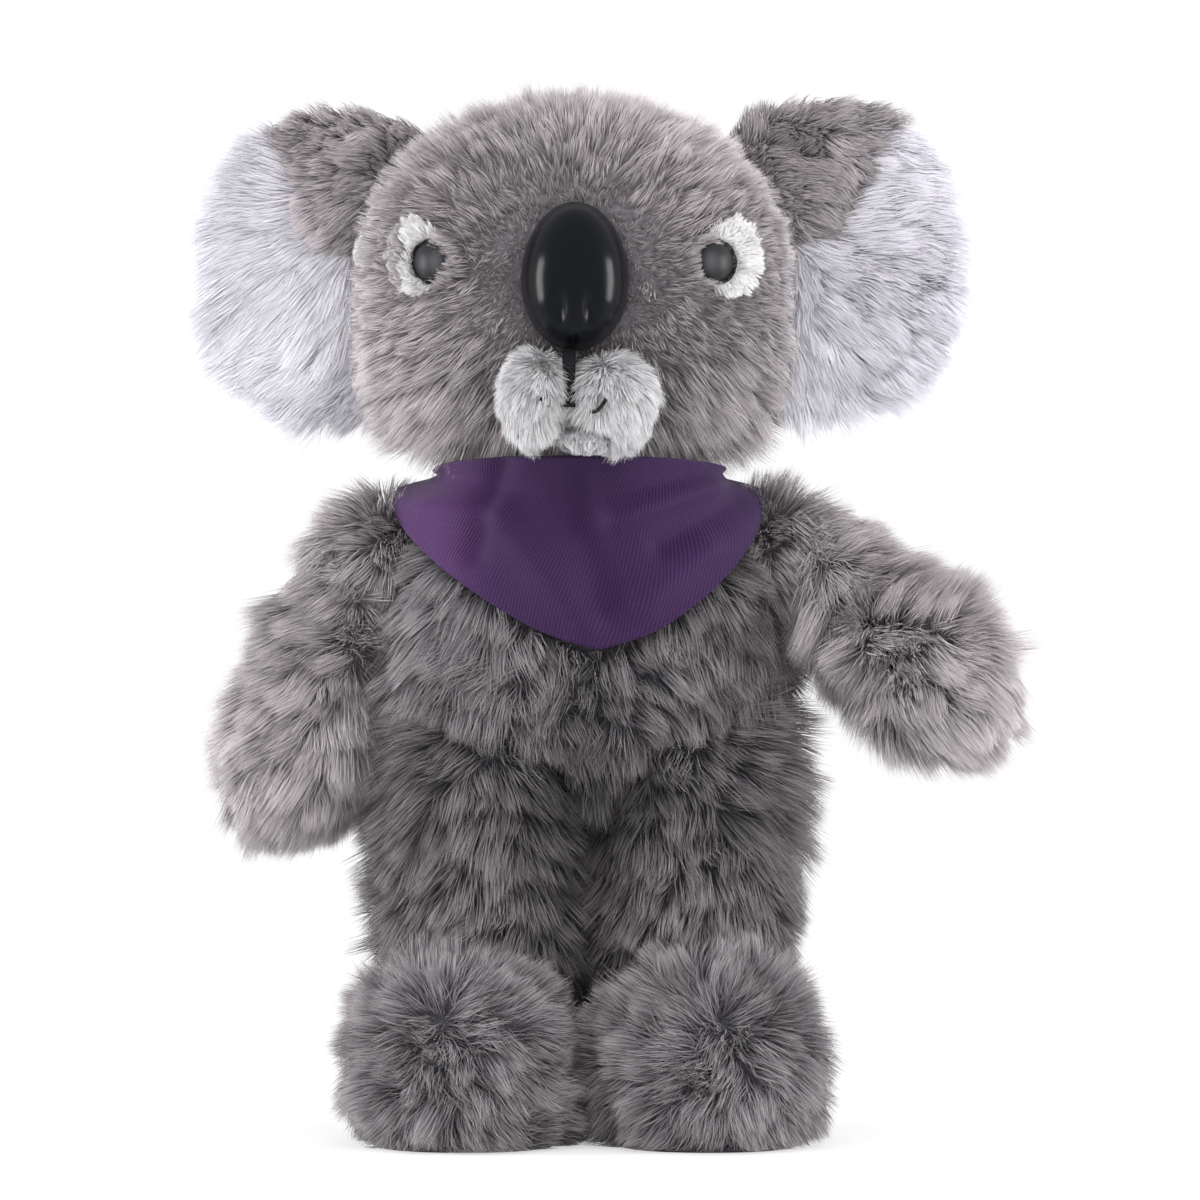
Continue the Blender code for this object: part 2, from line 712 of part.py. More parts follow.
def make_sole(name, side):
    """The flat panel sewn under a paw, its edge rounded above the floor."""
    low = plan_ring(
        FOOT_HALF_WIDTH * SOLE_SHARE - SOLE_ROUND,
        FOOT_FRONT * SOLE_SHARE - SOLE_ROUND,
        FOOT_BACK * SOLE_SHARE - SOLE_ROUND,
        FOOT_SQUARENESS,
        FOOT_SIDES,
    )
    high = plan_ring(
        FOOT_HALF_WIDTH * SOLE_SHARE,
        FOOT_FRONT * SOLE_SHARE,
        FOOT_BACK * SOLE_SHARE,
        FOOT_SQUARENESS,
        FOOT_SIDES,
    )
    place = (LEGS_MIDDLE_X + side * FOOT_SPREAD, FOOT_Y, 0)
    rings = [low + place, high + place, high + place]
    rings[1][:, 2] = SOLE_ROUND
    rings[2][:, 2] = SOLE_THICKNESS
    sole = loft(name, rings, None, None, DARK_FUR, SOFT)
    return sole


def muzzle_lobe(name, side, grow=0.0):
    """One lobe of the muzzle, beside the sewn groove, or a copy grown by a clearance."""
    half_width = MUZZLE_LEFT_HALF_WIDTH if side > 0 else MUZZLE_RIGHT_HALF_WIDTH
    z = MUZZLE_LEFT_Z if side > 0 else MUZZLE_RIGHT_Z
    x = MUZZLE_SEAM_X + side * (half_width + CLEAR / 2)
    half = (half_width + grow, MUZZLE_DEPTH + grow, MUZZLE_HALF_HEIGHT + grow)
    return ball(name, (x, MUZZLE_Y, z), half, MUZZLE_RINGS, MUZZLE_SIDES, MUZZLE_FUR, MUZZLE_SQUARENESS)


def lobe_face(x, z, side):
    """Where the front of a lobe lies at a place seen from the front."""
    half_width = MUZZLE_LEFT_HALF_WIDTH if side > 0 else MUZZLE_RIGHT_HALF_WIDTH
    middle_z = MUZZLE_LEFT_Z if side > 0 else MUZZLE_RIGHT_Z
    middle_x = MUZZLE_SEAM_X + side * (half_width + CLEAR / 2)
    level = dome_share((z - middle_z) / MUZZLE_HALF_HEIGHT, 2)
    across = abs(x - middle_x) / (half_width * level)
    return MUZZLE_Y - MUZZLE_DEPTH * level * dome_share(across, MUZZLE_SQUARENESS)


def make_mouth_stitch(name, side):
    """A short sagging stitch lying on one lobe."""
    left = side > 0
    start_x = MOUTH_LEFT_START_X if left else MOUTH_RIGHT_START_X
    end_x = MOUTH_LEFT_END_X if left else MOUTH_RIGHT_END_X
    lobe_z = MUZZLE_LEFT_Z if left else MUZZLE_RIGHT_Z
    start_z = lobe_z - (MOUTH_LEFT_START_DROP if left else MOUTH_RIGHT_START_DROP)
    end_z = lobe_z - (MOUTH_LEFT_END_DROP if left else MOUTH_RIGHT_END_DROP)
    points = []
    for k in range(STITCH_STEPS):
        along = k / (STITCH_STEPS - 1)
        x = start_x + (end_x - start_x) * along
        z = start_z + (end_z - start_z) * along - MOUTH_SAG * math.sin(math.pi * along)
        y = float(lobe_face(x, z, side)) - MOUTH_RADIUS - CLEAR
        points.append((x, y, z))
    return tube(name, points, MOUTH_RADIUS, STITCH_SIDES, THREAD, SOFT)


def make_philtrum():
    """The sewn line between the lobes, from under the nose down the groove."""
    points = [
        (MUZZLE_SEAM_X, PHILTRUM_TOP_Y, PHILTRUM_TOP_Z),
        (MUZZLE_SEAM_X, (PHILTRUM_TOP_Y + PHILTRUM_Y) / 2, PHILTRUM_TOP_Z - PHILTRUM_RADIUS * 2),
    ]
    for k in range(STITCH_STEPS):
        along = k / (STITCH_STEPS - 1)
        top = PHILTRUM_TOP_Z - PHILTRUM_RADIUS * 4
        points.append((MUZZLE_SEAM_X, PHILTRUM_Y, top + (PHILTRUM_BASE_Z - top) * along))
    return tube("philtrum_stitch", points, PHILTRUM_RADIUS, STITCH_SIDES, THREAD, SOFT)


def nose_outline(size):
    """The egg outline of the nose at a size, narrower at the top."""
    turn = np.arange(NOSE_SIDES) * 2 * math.pi / NOSE_SIDES
    x = size * NOSE_HALF_WIDTH * np.cos(turn) * (1 - NOSE_TAPER_SHARE * np.sin(turn))
    z = size * NOSE_HALF_HEIGHT * np.sin(turn)
    return np.column_stack([x, np.zeros(NOSE_SIDES), z])


def nose_body(name, grow=0.0):
    """The moulded nose with its shank, or a copy grown by a clearance."""
    turn = np.arange(NOSE_SIDES) * 2 * math.pi / NOSE_SIDES
    place = np.array((NOSE_X, 0, NOSE_Z))
    round_ring = np.column_stack([np.cos(turn), np.zeros(NOSE_SIDES), np.sin(turn)])
    shank = round_ring * (NOSE_SHANK_RADIUS + grow)
    stack = [
        shank + place + (0, NOSE_BACK_Y + NOSE_SHANK_LENGTH + grow, 0),
        shank + place + (0, NOSE_BACK_Y + grow, 0),
    ]
    for depth, size in NOSE_SHARES:
        ring = nose_outline(size) + round_ring * grow
        y = NOSE_BACK_Y - NOSE_DEPTH * depth + (grow if depth == 0 else 0)
        stack.append(ring + place + (0, y, 0))
    tip = place + (0, NOSE_BACK_Y - NOSE_DEPTH - grow, 0)
    return loft(name, stack, None, tip, BLACK, GLOSSY)


def eye_axis(side):
    """The way an eye looks: forward, and turned outward."""
    return Vector((side * math.sin(EYE_OUTWARD), -math.cos(EYE_OUTWARD), 0))


def eye_centre(side):
    """Where an eye's back meets the face."""
    x = HEAD_X + side * EYE_SPREAD
    return Vector((x, float(head_face(x, EYE_Z)), EYE_Z)) + eye_axis(side) * EYE_PROUD


def eye_body(name, side, grow=0.0):
    """A domed eye on its shank, or a copy grown by a clearance."""
    radius = EYE_RADIUS + grow
    shank = EYE_SHANK_RADIUS + grow
    profile = [(shank, -EYE_SHANK_LENGTH - grow), (shank, -EYE_RIM - grow), (radius, -EYE_RIM - grow)]
    profile.append((radius, 0))
    for k in range(1, EYE_RINGS):
        rise = math.pi / 2 * k / EYE_RINGS
        profile.append((radius * math.cos(rise), (EYE_DOME + grow) * math.sin(rise)))
    profile.append((0, EYE_DOME + grow))
    return turned(name, profile, eye_centre(side), eye_axis(side), EYE_SIDES, EYE_BLACK, GLOSSY)


def washer(name, centre, axis, radius, bore, grow=0.0):
    """A lock washer on a shank, or the plain disc that its pocket in the stuffing needs."""
    half = WASHER_THICKNESS / 2 + grow
    disc = turned(
        name, [(radius + grow, -half), (radius + grow, half)], centre, axis, EYE_SIDES, NYLON, SATIN
    )
    if grow == 0:
        hole = [(bore + CLEAR, -half - OVERRUN), (bore + CLEAR, half + OVERRUN)]
        boolean(disc, turned("washer_hole", hole, centre, axis, EYE_SIDES, NYLON, SATIN))
    return disc


def nose_washer(name, grow=0.0):
    """The washer behind the nose."""
    centre = (NOSE_X, NOSE_BACK_Y + WASHER_STAND, NOSE_Z)
    return washer(name, centre, Vector((0, 1, 0)), NOSE_WASHER_RADIUS, NOSE_SHANK_RADIUS, grow)


def eye_washer(name, side, grow=0.0):
    """The washer behind one eye."""
    axis = eye_axis(side)
    centre = eye_centre(side) - axis * WASHER_STAND
    return washer(name, centre, axis, EYE_WASHER_RADIUS, EYE_SHANK_RADIUS, grow)


def make_patch(name, side):
    """The white oval behind one eye: a thin pad that follows the face."""
    x = HEAD_X + side * PATCH_SPREAD
    turn = np.arange(PATCH_SIDES) * 2 * math.pi / PATCH_SIDES
    rings = []
    for lift, rows in ((CLEAR, range(1, PATCH_RINGS + 1)), (None, range(PATCH_RINGS, 0, -1))):
        for k in rows:
            share = k / PATCH_RINGS
            top = CLEAR + PATCH_THICKNESS * (1 - share**4)
            rise = lift if lift is not None else max(top, 2 * CLEAR)
            across = x + PATCH_HALF_WIDTH * share * np.cos(turn)
            up = PATCH_Z + PATCH_HALF_HEIGHT * share * np.sin(turn)
            rings.append(on_face(across, up, rise))
    low = on_face(np.array([x]), np.array([PATCH_Z]), CLEAR)[0]
    high = on_face(np.array([x]), np.array([PATCH_Z]), CLEAR + PATCH_THICKNESS)[0]
    patch = loft(name, rings, low, high, WHITE_FUR, SOFT)
    boolean(patch, eye_body("eye_cut", side, CLEAR))
    return patch


def ear_layer(name, side, front):
    """One plush layer of an ear: an egg outline, cupped forward, thin at its rim."""
    turn = np.arange(EAR_SIDES) * 2 * math.pi / EAR_SIDES
    outline_x = EAR_HALF_WIDTH * signed_power(np.cos(turn), 2 / EAR_SQUARENESS)
    outline_z = EAR_HALF_HEIGHT * signed_power(np.sin(turn), 2 / EAR_SQUARENESS)
    lean_x = outline_x * math.cos(EAR_LEAN) - outline_z * math.sin(EAR_LEAN)
    lean_z = outline_x * math.sin(EAR_LEAN) + outline_z * math.cos(EAR_LEAN)
    thickness = EAR_FRONT_THICKNESS if front else EAR_BACK_THICKNESS
    way = -1 if front else 1
    centre_x = EAR_LEFT_X if side > 0 else EAR_RIGHT_X
    centre_z = HEAD_Z + (EAR_LEFT_RISE if side > 0 else EAR_RIGHT_RISE)

    def sheet_ring(share, offset):
        cup = EAR_Y + EAR_CUP * (1 - share**2)
        x = side * (centre_x + share * lean_x)
        z = centre_z + share * lean_z
        return np.column_stack([x, np.full(EAR_SIDES, cup + way * offset), z])

    near = CLEAR / 2
    rings = [sheet_ring(k / EAR_RINGS, near) for k in range(1, EAR_RINGS + 1)]
    for k in range(EAR_RINGS, 0, -1):
        share = k / EAR_RINGS
        bulk = thickness * max(EAR_RIM_SHARE, 1 - share**EAR_FULLNESS)
        rings.append(sheet_ring(share, near + bulk))
    low = (side * centre_x, EAR_Y + EAR_CUP + way * near, centre_z)
    high = (side * centre_x, EAR_Y + EAR_CUP + way * (near + thickness), centre_z)
    colour = WHITE_FUR if front else GREY_FUR
    layer = loft(name, rings, low, high, colour, SOFT)
    pivot = Vector((side * EAR_FOLD_X, EAR_Y, centre_z))
    for turn_back in (-EAR_FOLD_LIMIT, 0, EAR_FOLD_LIMIT):
        cut = head_body("ear_cut", EAR_HEAD_GAP)
        about = Matrix.Translation(pivot) @ Matrix.Rotation(turn_back, 4, "Z") @ Matrix.Translation(-pivot)
        cut.data.transform(about)
        boolean(layer, cut)
    seat_on(layer, pivot)
    return layer


def band_surface(turn, down):
    """Where the bandana's middle surface lies, at a turn round the neck and a share of the way down."""
    facing = (1 + np.cos(turn)) / 2
    top = BAND_TOP_BACK + (BAND_TOP_FRONT - BAND_TOP_BACK) * facing
    edge = read_shares(BAND_EDGE, BAND_SAMPLES)
    away = np.degrees(np.arccos(np.clip(np.cos(turn), -1, 1)))
    base = np.interp(away, edge[:, 0], edge[:, 1])
    rows = read_shares(BAND_SHARES, BAND_SAMPLES)
    wide, front, back = (np.interp(down, rows[:, 0], rows[:, k]) for k in (1, 2, 3))
    fold = BAND_FOLD * np.sin(BAND_FOLDS * turn + 2 * down) * np.sin(math.pi * np.clip(down, 0, 1))
    x = (BAND_HALF_WIDTH * wide + fold) * signed_power(np.sin(turn), 2 / BAND_SQUARENESS)
    x = x + BAND_TIP_SHIFT * down**2 * np.clip(np.cos(turn), 0, 1) ** 2
    depth = np.where(np.cos(turn) > 0, BAND_FRONT * front, BAND_BACK * back) + fold
    y = -depth * signed_power(np.cos(turn), 2 / BAND_SQUARENESS)
    return np.stack([x, y, top + (base - top) * down], axis=-1)


def make_bandana():
    """The bandana as one closed sheet: band and triangle, open round the neck."""
    turn = np.arange(BAND_STEPS) * 2 * math.pi / BAND_STEPS
    down = np.linspace(0, 1, BAND_ROWS)
    grid_turn, grid_down = np.meshgrid(turn, down)
    middle = band_surface(grid_turn, grid_down)
    along = np.roll(middle, -1, axis=1) - np.roll(middle, 1, axis=1)
    below = np.gradient(middle, axis=0)
    normal = np.cross(below, along)
    normal /= np.linalg.norm(normal, axis=-1)[..., None]
    outward = np.sum(normal[..., :2] * middle[..., :2], axis=-1).mean()
    normal *= math.copysign(1, outward) * CLOTH_THICKNESS / 2
    vertices = np.vstack([(middle + normal).reshape(-1, 3), (middle - normal).reshape(-1, 3)])
    inner = BAND_STEPS * BAND_ROWS
    faces = []
    for i in range(BAND_STEPS):
        j = (i + 1) % BAND_STEPS
        for k in range(BAND_ROWS - 1):
            a, b = k * BAND_STEPS + i, k * BAND_STEPS + j
            c, d = b + BAND_STEPS, a + BAND_STEPS
            faces.append((a, b, c, d))
            faces.append((inner + d, inner + c, inner + b, inner + a))
        last = (BAND_ROWS - 1) * BAND_STEPS
        faces.append((j, i, inner + i, inner + j))
        faces.append((last + i, last + j, inner + last + j, inner + last + i))
    return new_object("bandana", vertices, faces, PURPLE, CLOTH)


def knot_y():
    """Where the knot's middle lies, seated behind the band."""
    behind = band_surface(np.full(BAND_ROWS, math.pi), np.linspace(0, 1, BAND_ROWS))
    return float(behind[:, 1].max()) + CLOTH_THICKNESS / 2 + CLEAR + KNOT_DEPTH


def knot_body(name, grow=0.0):
    """The bandana's knot, or a copy grown by a clearance."""
    half = (KNOT_HALF_WIDTH + grow, KNOT_DEPTH + grow, KNOT_HALF_HEIGHT + grow)
    return ball(name, (0, knot_y(), KNOT_Z), half, KNOT_RINGS, KNOT_SIDES, PURPLE, KNOT_SQUARENESS, CLOTH)


def make_tail(name, side):
    """One free end of the bandana, hanging from the knot and narrowing to its corner."""
    rings = []
    table = np.asarray(TAIL_SHARES)
    out = Vector((side * math.sin(TAIL_SPREAD), 0, -math.cos(TAIL_SPREAD)))
    across = Vector((math.cos(TAIL_SPREAD), 0, side * math.sin(TAIL_SPREAD)))
    root = Vector((side * TAIL_ROOT_X, knot_y(), KNOT_Z))
    thick = Vector((0, CLOTH_THICKNESS / 2, 0))
    for share, wide in table:
        centre = root + out * (TAIL_LENGTH * share)
        reach = across * (TAIL_HALF_WIDTH * wide)
        front = centre - thick
        back = centre + thick
        rings.append([front - reach, front + reach, back + reach, back - reach])
    tail = loft(name, rings, None, None, PURPLE, CLOTH)
    boolean(tail, knot_body("knot_cut", CLEAR))
    return tail


def main():
    """Builds every piece and hangs it on the koala's own frame."""
    clear_scene()
    frame = bpy.data.objects.new("koala_frame", None)
    bpy.context.collection.objects.link(frame)
    frame.location = (MIDDLE_X, MIDDLE_Y, 0)

    pieces = [make_torso(), neck_ball("neck")]
    seat_on(pieces[1], (0, 0, NECK_Z))

    head = head_body("head")
    boolean(head, neck_ball("neck_cut", True))
    boolean(head, nose_body("nose_cut", CLEAR))
    boolean(head, nose_washer("nose_pocket", CLEAR))
    for side in (-1, 1):
        boolean(head, eye_body("eye_cut", side, CLEAR))
        boolean(head, eye_washer("eye_pocket", side, CLEAR))
    face = [head, nose_body("nose"), nose_washer("nose_washer"), make_philtrum()]

    chin_place = (CHIN_X, CHIN_Y, CHIN_Z)
    chin_half = (CHIN_HALF_WIDTH, CHIN_DEPTH, CHIN_HALF_HEIGHT)
    chin = ball("chin", chin_place, chin_half, CHIN_RINGS, CHIN_SIDES, MUZZLE_FUR)
    boolean(chin, head_body("head_cut", CLEAR))
    for side, word in ((-1, "right"), (1, "left")):
        lobe = muzzle_lobe(f"muzzle_{word}", side)
        boolean(lobe, head_body("head_cut", CLEAR))
        boolean(lobe, nose_body("nose_cut", CLEAR))
        boolean(chin, muzzle_lobe("lobe_cut", side, CLEAR))
        face += [lobe, make_mouth_stitch(f"mouth_stitch_{word}", side)]
        face += [eye_body(f"eye_{word}", side), eye_washer(f"eye_washer_{word}", side)]
        face.append(make_patch(f"eye_patch_{word}", side))
    face.append(chin)
    for piece in face:
        seat_on(piece, (0, 0, NECK_Z))
    pieces += face

    for side, word in ((-1, "right"), (1, "left")):
        pieces.append(ear_layer(f"ear_front_{word}", side, True))
        pieces.append(ear_layer(f"ear_back_{word}", side, False))
        shoulder = shoulder_ball(f"shoulder_{word}", side)
        seat_on(shoulder, (side * SHOULDER_X, SHOULDER_Y, SHOULDER_Z))
        pieces += [shoulder, make_arm(f"arm_{word}", side)]
        leg = make_leg(f"leg_{word}", side)
        foot = foot_body(f"foot_{word}", side)
        sole = make_sole(f"sole_{word}", side)
        for piece in (foot, sole):
            seat_on(piece, (hip_x(side), 0, HIP_Z))
        pieces += [leg, foot, sole]

    pieces += [make_bandana(), knot_body("bandana_knot")]
    pieces += [make_tail("bandana_tail_right", -1), make_tail("bandana_tail_left", 1)]
    for piece in pieces:
        piece.parent = frame


main()
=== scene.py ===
# %% [markdown]
# # A plush koala in a bandana
# The real toy is a set of cloth shells with a long woven-in pile, stuffed with fibre, with a
# moulded nose and moulded eyes, and a purple bandana tied round its neck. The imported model
# brings the solids and the joints. This lesson dresses them. Each stuffed solid gets a softer
# shell, and each shell gets its pile as thousands of thin ribbons of mesh.

import math

import bmesh
import bpy
import numpy as np
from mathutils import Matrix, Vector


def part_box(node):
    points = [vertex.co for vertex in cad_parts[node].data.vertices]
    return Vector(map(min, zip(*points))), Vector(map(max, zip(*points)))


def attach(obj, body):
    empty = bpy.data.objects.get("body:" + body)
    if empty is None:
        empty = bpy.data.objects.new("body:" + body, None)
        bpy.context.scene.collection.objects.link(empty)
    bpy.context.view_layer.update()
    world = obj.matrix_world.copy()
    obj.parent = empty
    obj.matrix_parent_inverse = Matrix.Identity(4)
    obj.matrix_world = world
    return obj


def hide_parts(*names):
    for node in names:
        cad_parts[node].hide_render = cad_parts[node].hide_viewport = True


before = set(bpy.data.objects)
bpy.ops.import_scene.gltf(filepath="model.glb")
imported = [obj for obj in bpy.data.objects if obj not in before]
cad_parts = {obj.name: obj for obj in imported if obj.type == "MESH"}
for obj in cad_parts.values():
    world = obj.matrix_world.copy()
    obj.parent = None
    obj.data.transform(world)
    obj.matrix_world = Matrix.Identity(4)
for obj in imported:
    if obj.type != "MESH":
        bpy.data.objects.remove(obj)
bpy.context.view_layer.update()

# %% [markdown]
# ## Two sides, and pieces in place of nodes
# The toy's sides are nearly alike, so most pieces are made in a loop over the sides, and a sign
# says which way along x each side lies. Random draws start from a seed, to which the length of
# the side's name is added, so that no two sides get the same strands. A new piece hides the
# node that it stands for, and moves with that node's body.

# %% Sides, boxes and new pieces
SIDES = {"right": -1, "left": 1}


def box(node):
    """A node's lowest and highest corners, as arrays."""
    return np.array(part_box(node))


def middle_of(node):
    """The middle of a node's box."""
    return box(node).mean(axis=0)


def unit(vectors):
    """Vectors scaled to length one."""
    return vectors / np.maximum(np.linalg.norm(vectors, axis=-1, keepdims=True), 1e-12)


def full_turn(count):
    """Even angles all the way round: a whole turn times 0, 1, 2 and so on, over their count."""
    return np.arange(count) * 2 * math.pi / count


def put(name, data):
    """A new object in the scene."""
    made = bpy.data.objects.new(name, data)
    bpy.context.collection.objects.link(made)
    return made


def stand_in(piece, node, body):
    """Hides a node behind the piece that stands for it, which takes the node's body."""
    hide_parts(node)
    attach(piece, body)


print("middle of the head", middle_of("head").round(4))

# %% [markdown]
# ## Shader maths written as sums
# A finish is a small network of nodes. Adding Math nodes by hand hides what they work out, so
# one class wraps a socket and lets Python's own signs add the nodes. A second class owns the
# network, and its one method makes every node: the type, then its settings, then its inputs.
# The third adds the words that the finishes of this toy are written in.


# %% A socket that can be added and multiplied
class Wire:
    """A socket of a network, on which sums and products add Math nodes."""

    def __init__(self, network, socket):
        self.network = network
        self.socket = socket

    def maths(self, operation, first, second):
        return self.network.node("ShaderNodeMath", {"operation": operation}, {0: first, 1: second})

    def __add__(self, other):
        return self.maths("ADD", self, other)

    def __sub__(self, other):
        return self.maths("SUBTRACT", self, other)

    def __rsub__(self, other):
        return self.maths("SUBTRACT", other, self)

    def __mul__(self, other):
        return self.maths("MULTIPLY", self, other)

    __radd__ = __add__
    __rmul__ = __mul__

    def wave(self):
        return self.maths("SINE", self, 0.0)

    def larger(self, other):
        return self.maths("MAXIMUM", self, other)


# %% A network and its one node method
class Network:
    """The nodes of a material or of the world."""

    def __init__(self, owner):
        owner.use_nodes = True
        self.tree = owner.node_tree

    def node(self, kind, settings=None, inputs=None, output=0):
        """A node of a kind, with its settings made first and then its values or links."""
        made = self.tree.nodes.new(kind)
        for name, value in (settings or {}).items():
            if name == "stops":
                ramp = made.color_ramp.elements
                while len(ramp) < len(value):
                    ramp.new(0.5)
                for stop, (place, colour) in zip(ramp, value):
                    stop.position = place
                    stop.color = (*colour, 1.0)
            else:
                setattr(made, name, value)
        for key, value in (inputs or {}).items():
            self.set(made.inputs[key], value)
        return Wire(self, made.outputs[output])

    def set(self, socket, value):
        """Links a wire to a socket, or writes a value in it."""
        if isinstance(value, Wire):
            self.tree.links.new(value.socket, socket)
        else:
            socket.default_value = value

    def seen_directly(self):
        """1 for a ray from the camera and for one that gloss or glass sends on, 0 for the others."""
        rays = [self.node("ShaderNodeLightPath", output=f"Is {kind} Ray")
                for kind in ("Camera", "Glossy", "Transmission")]
        return rays[0].larger(rays[1]).larger(rays[2])


# %% A finish
class Finish(Network):
    """A material with a Principled shader."""

    def __init__(self, name, **constants):
        self.material = bpy.data.materials.new(name)
        super().__init__(self.material)
        self.shader = self.tree.nodes["Principled BSDF"]
        for socket, value in constants.items():
            self.feed(socket.replace("_", " "), value)

    def feed(self, name, value):
        self.set(self.shader.inputs[name], value)

    def place(self):
        """Where a point lies, in metres."""
        return self.node("ShaderNodeTexCoord", output="Object")

    def part(self, vector, axis):
        """One of a vector's three numbers."""
        return self.node("ShaderNodeSeparateXYZ", None, {0: vector}, output=axis)

    def length(self, vector):
        return self.node("ShaderNodeVectorMath", {"operation": "LENGTH"}, {0: vector}, output=1)

    def noise(self, scale, detail):
        """Even random noise from 0 to 1."""
        inputs = {"Vector": self.place(), "Scale": scale, "Detail": detail}
        return self.node("ShaderNodeTexNoise", None, inputs)

    def scaled(self, colour, share):
        """A colour made lighter or darker by a share."""
        return self.node("ShaderNodeVectorMath", {"operation": "SCALE"}, {0: colour, "Scale": share})

    def mixed(self, share, first, second):
        """A colour between two colours, each of them a wire or three numbers."""
        first, second = (one if isinstance(one, Wire) else (*one, 1.0) for one in (first, second))
        return self.node("ShaderNodeMix", {"data_type": "RGBA"}, {0: share, 6: first, 7: second}, output=2)

    def stepped(self, value, start, end, low=0.0, high=1.0):
        """A smooth step from low to high, as the value goes from the start to the end."""
        inputs = {0: value, 1: start, 2: end, 3: low, 4: high}
        return self.node("ShaderNodeMapRange", {"interpolation_type": "SMOOTHSTEP"}, inputs)

    def bumped(self, height, depth, strength=1.0):
        """The normal of a surface that is raised by a height from 0 to 1 times a depth in metres."""
        return self.node("ShaderNodeBump", None, {"Height": height, "Distance": depth, "Strength": strength})


# %% [markdown]
# ## The finish of the pile
# A real pile's tips are frosted. The finish also paints the pile darker at its roots, as painted
# shade for the little light that gets in there. Each ribbon of pile carries its own place on one
# small map: how light this strand is from side to side of the map, and root to tip from bottom to
# top. The finish reads nothing but that map, so one strand differs from the next, and the colour runs along it.

# %% A pile finish, and the backing cloth's
STRAND_MAP = "OFBake"


def pile_finish(name, root, middle, tip, dark=0.6, light=1.35):
    """Colour from a dark root, which is painted shade, to a frosted tip along the strand, times the strand's own
    lightness.
    """
    finish = Finish(name, Roughness=0.8, Sheen_Weight=0.25, Sheen_Roughness=0.4, Specular_IOR_Level=0.25)
    place = finish.node("ShaderNodeUVMap", {"uv_map": STRAND_MAP})
    # Painted shade: the root stop is dark for the shade deep in the pile; the tip stop is the real frosted tip.
    stops = [(0.0, root), (0.55, middle), (1.0, tip)]
    run = finish.node("ShaderNodeValToRGB", {"stops": stops}, {0: finish.part(place, 1)})
    finish.feed("Base Color", finish.scaled(run, finish.part(place, 0) * (light - dark) + dark))
    return finish.material


def felt_finish(name, deep, raised):
    """The backing cloth under a pile: two shades mixed by fine noise, with the same noise as bump."""
    finish = Finish(name, Roughness=0.9, Sheen_Weight=0.3, Specular_IOR_Level=0.2)
    fuzz = finish.noise(900.0, 3.0)
    finish.feed("Base Color", finish.mixed(fuzz, deep, raised))
    finish.feed("Normal", finish.bumped(fuzz, 0.0004))
    return finish.material


head_pile = pile_finish("head_pile", (0.20, 0.182, 0.195), (0.46, 0.425, 0.44), (0.70, 0.655, 0.67))
body_pile = pile_finish("body_pile", (0.078, 0.072, 0.080), (0.175, 0.163, 0.175), (0.37, 0.34, 0.352), 0.25, 1.7)
arm_pile = pile_finish("arm_pile", (0.16, 0.145, 0.155), (0.38, 0.352, 0.368), (0.62, 0.58, 0.595))
white_pile = pile_finish("white_pile", (0.70, 0.685, 0.73), (0.84, 0.825, 0.88), (0.92, 0.905, 0.95), 0.88, 1.06)
patch_pile = pile_finish("patch_pile", (0.50, 0.49, 0.50), (0.70, 0.69, 0.70), (0.80, 0.79, 0.80), 0.85, 1.08)
muzzle_pile = pile_finish("muzzle_pile", (0.42, 0.415, 0.43), (0.61, 0.605, 0.62), (0.76, 0.755, 0.77), 0.8, 1.12)
# Painted shade: each backing cloth is coloured about like the shaded roots of its pile, so that gaps in the pile
# read as shade.
grey_felt = felt_finish("grey_felt", (0.10, 0.09, 0.10), (0.20, 0.18, 0.195))
dark_felt = felt_finish("dark_felt", (0.035, 0.033, 0.04), (0.08, 0.075, 0.088))
white_felt = felt_finish("white_felt", (0.58, 0.57, 0.61), (0.76, 0.75, 0.80))
print("pile finishes", len(bpy.data.materials))

# %% [markdown]
# ## Stuffed shells
# Under the pile is a sewn cloth shell, round where it is stuffed and soft at its edges. It could
# be drawn again as a formula, but then it might not sit where the joints expect it. So each
# shell starts as a copy of its own solid, is merged, cut again into even small squares,
# smoothed, and drawn in by the depth that the pile will fill.

# %% Copy a solid and soften it
shells = {}


def merged_copy(node, name):
    """A node's mesh as a new piece, with its loose triangles joined at their corners."""
    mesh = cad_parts[node].data.copy()
    mesh.materials.clear()
    joined = bmesh.new()
    joined.from_mesh(mesh)
    bmesh.ops.remove_doubles(joined, verts=joined.verts, dist=0.00001)
    joined.to_mesh(mesh)
    joined.free()
    return put(name, mesh)


def settle(piece):
    """Replaces a piece's mesh by what its modifiers make of it."""
    shown = piece.evaluated_get(bpy.context.evaluated_depsgraph_get())
    result = bpy.data.meshes.new_from_object(shown)
    piece.modifiers.clear()
    piece.data = result


def soft_shell(node, body, felt, square=0.003, inset=0.0025, rounds=6):
    """A stuffed shell in place of a node: remeshed, smoothed, and drawn in along its normals."""
    piece = merged_copy(node, node + "_shell")
    remesh = piece.modifiers.new("Squares", "REMESH")
    remesh.mode = "VOXEL"
    remesh.voxel_size = square
    remesh.use_smooth_shade = True
    smooth = piece.modifiers.new("Soften", "SMOOTH")
    smooth.factor = 0.5
    smooth.iterations = rounds
    draw_in = piece.modifiers.new("Draw in", "DISPLACE")
    draw_in.mid_level = 0.0
    draw_in.strength = -inset
    settle(piece)
    piece.data.materials.clear()
    piece.data.materials.append(felt)
    stand_in(piece, node, body)
    shells[node] = piece


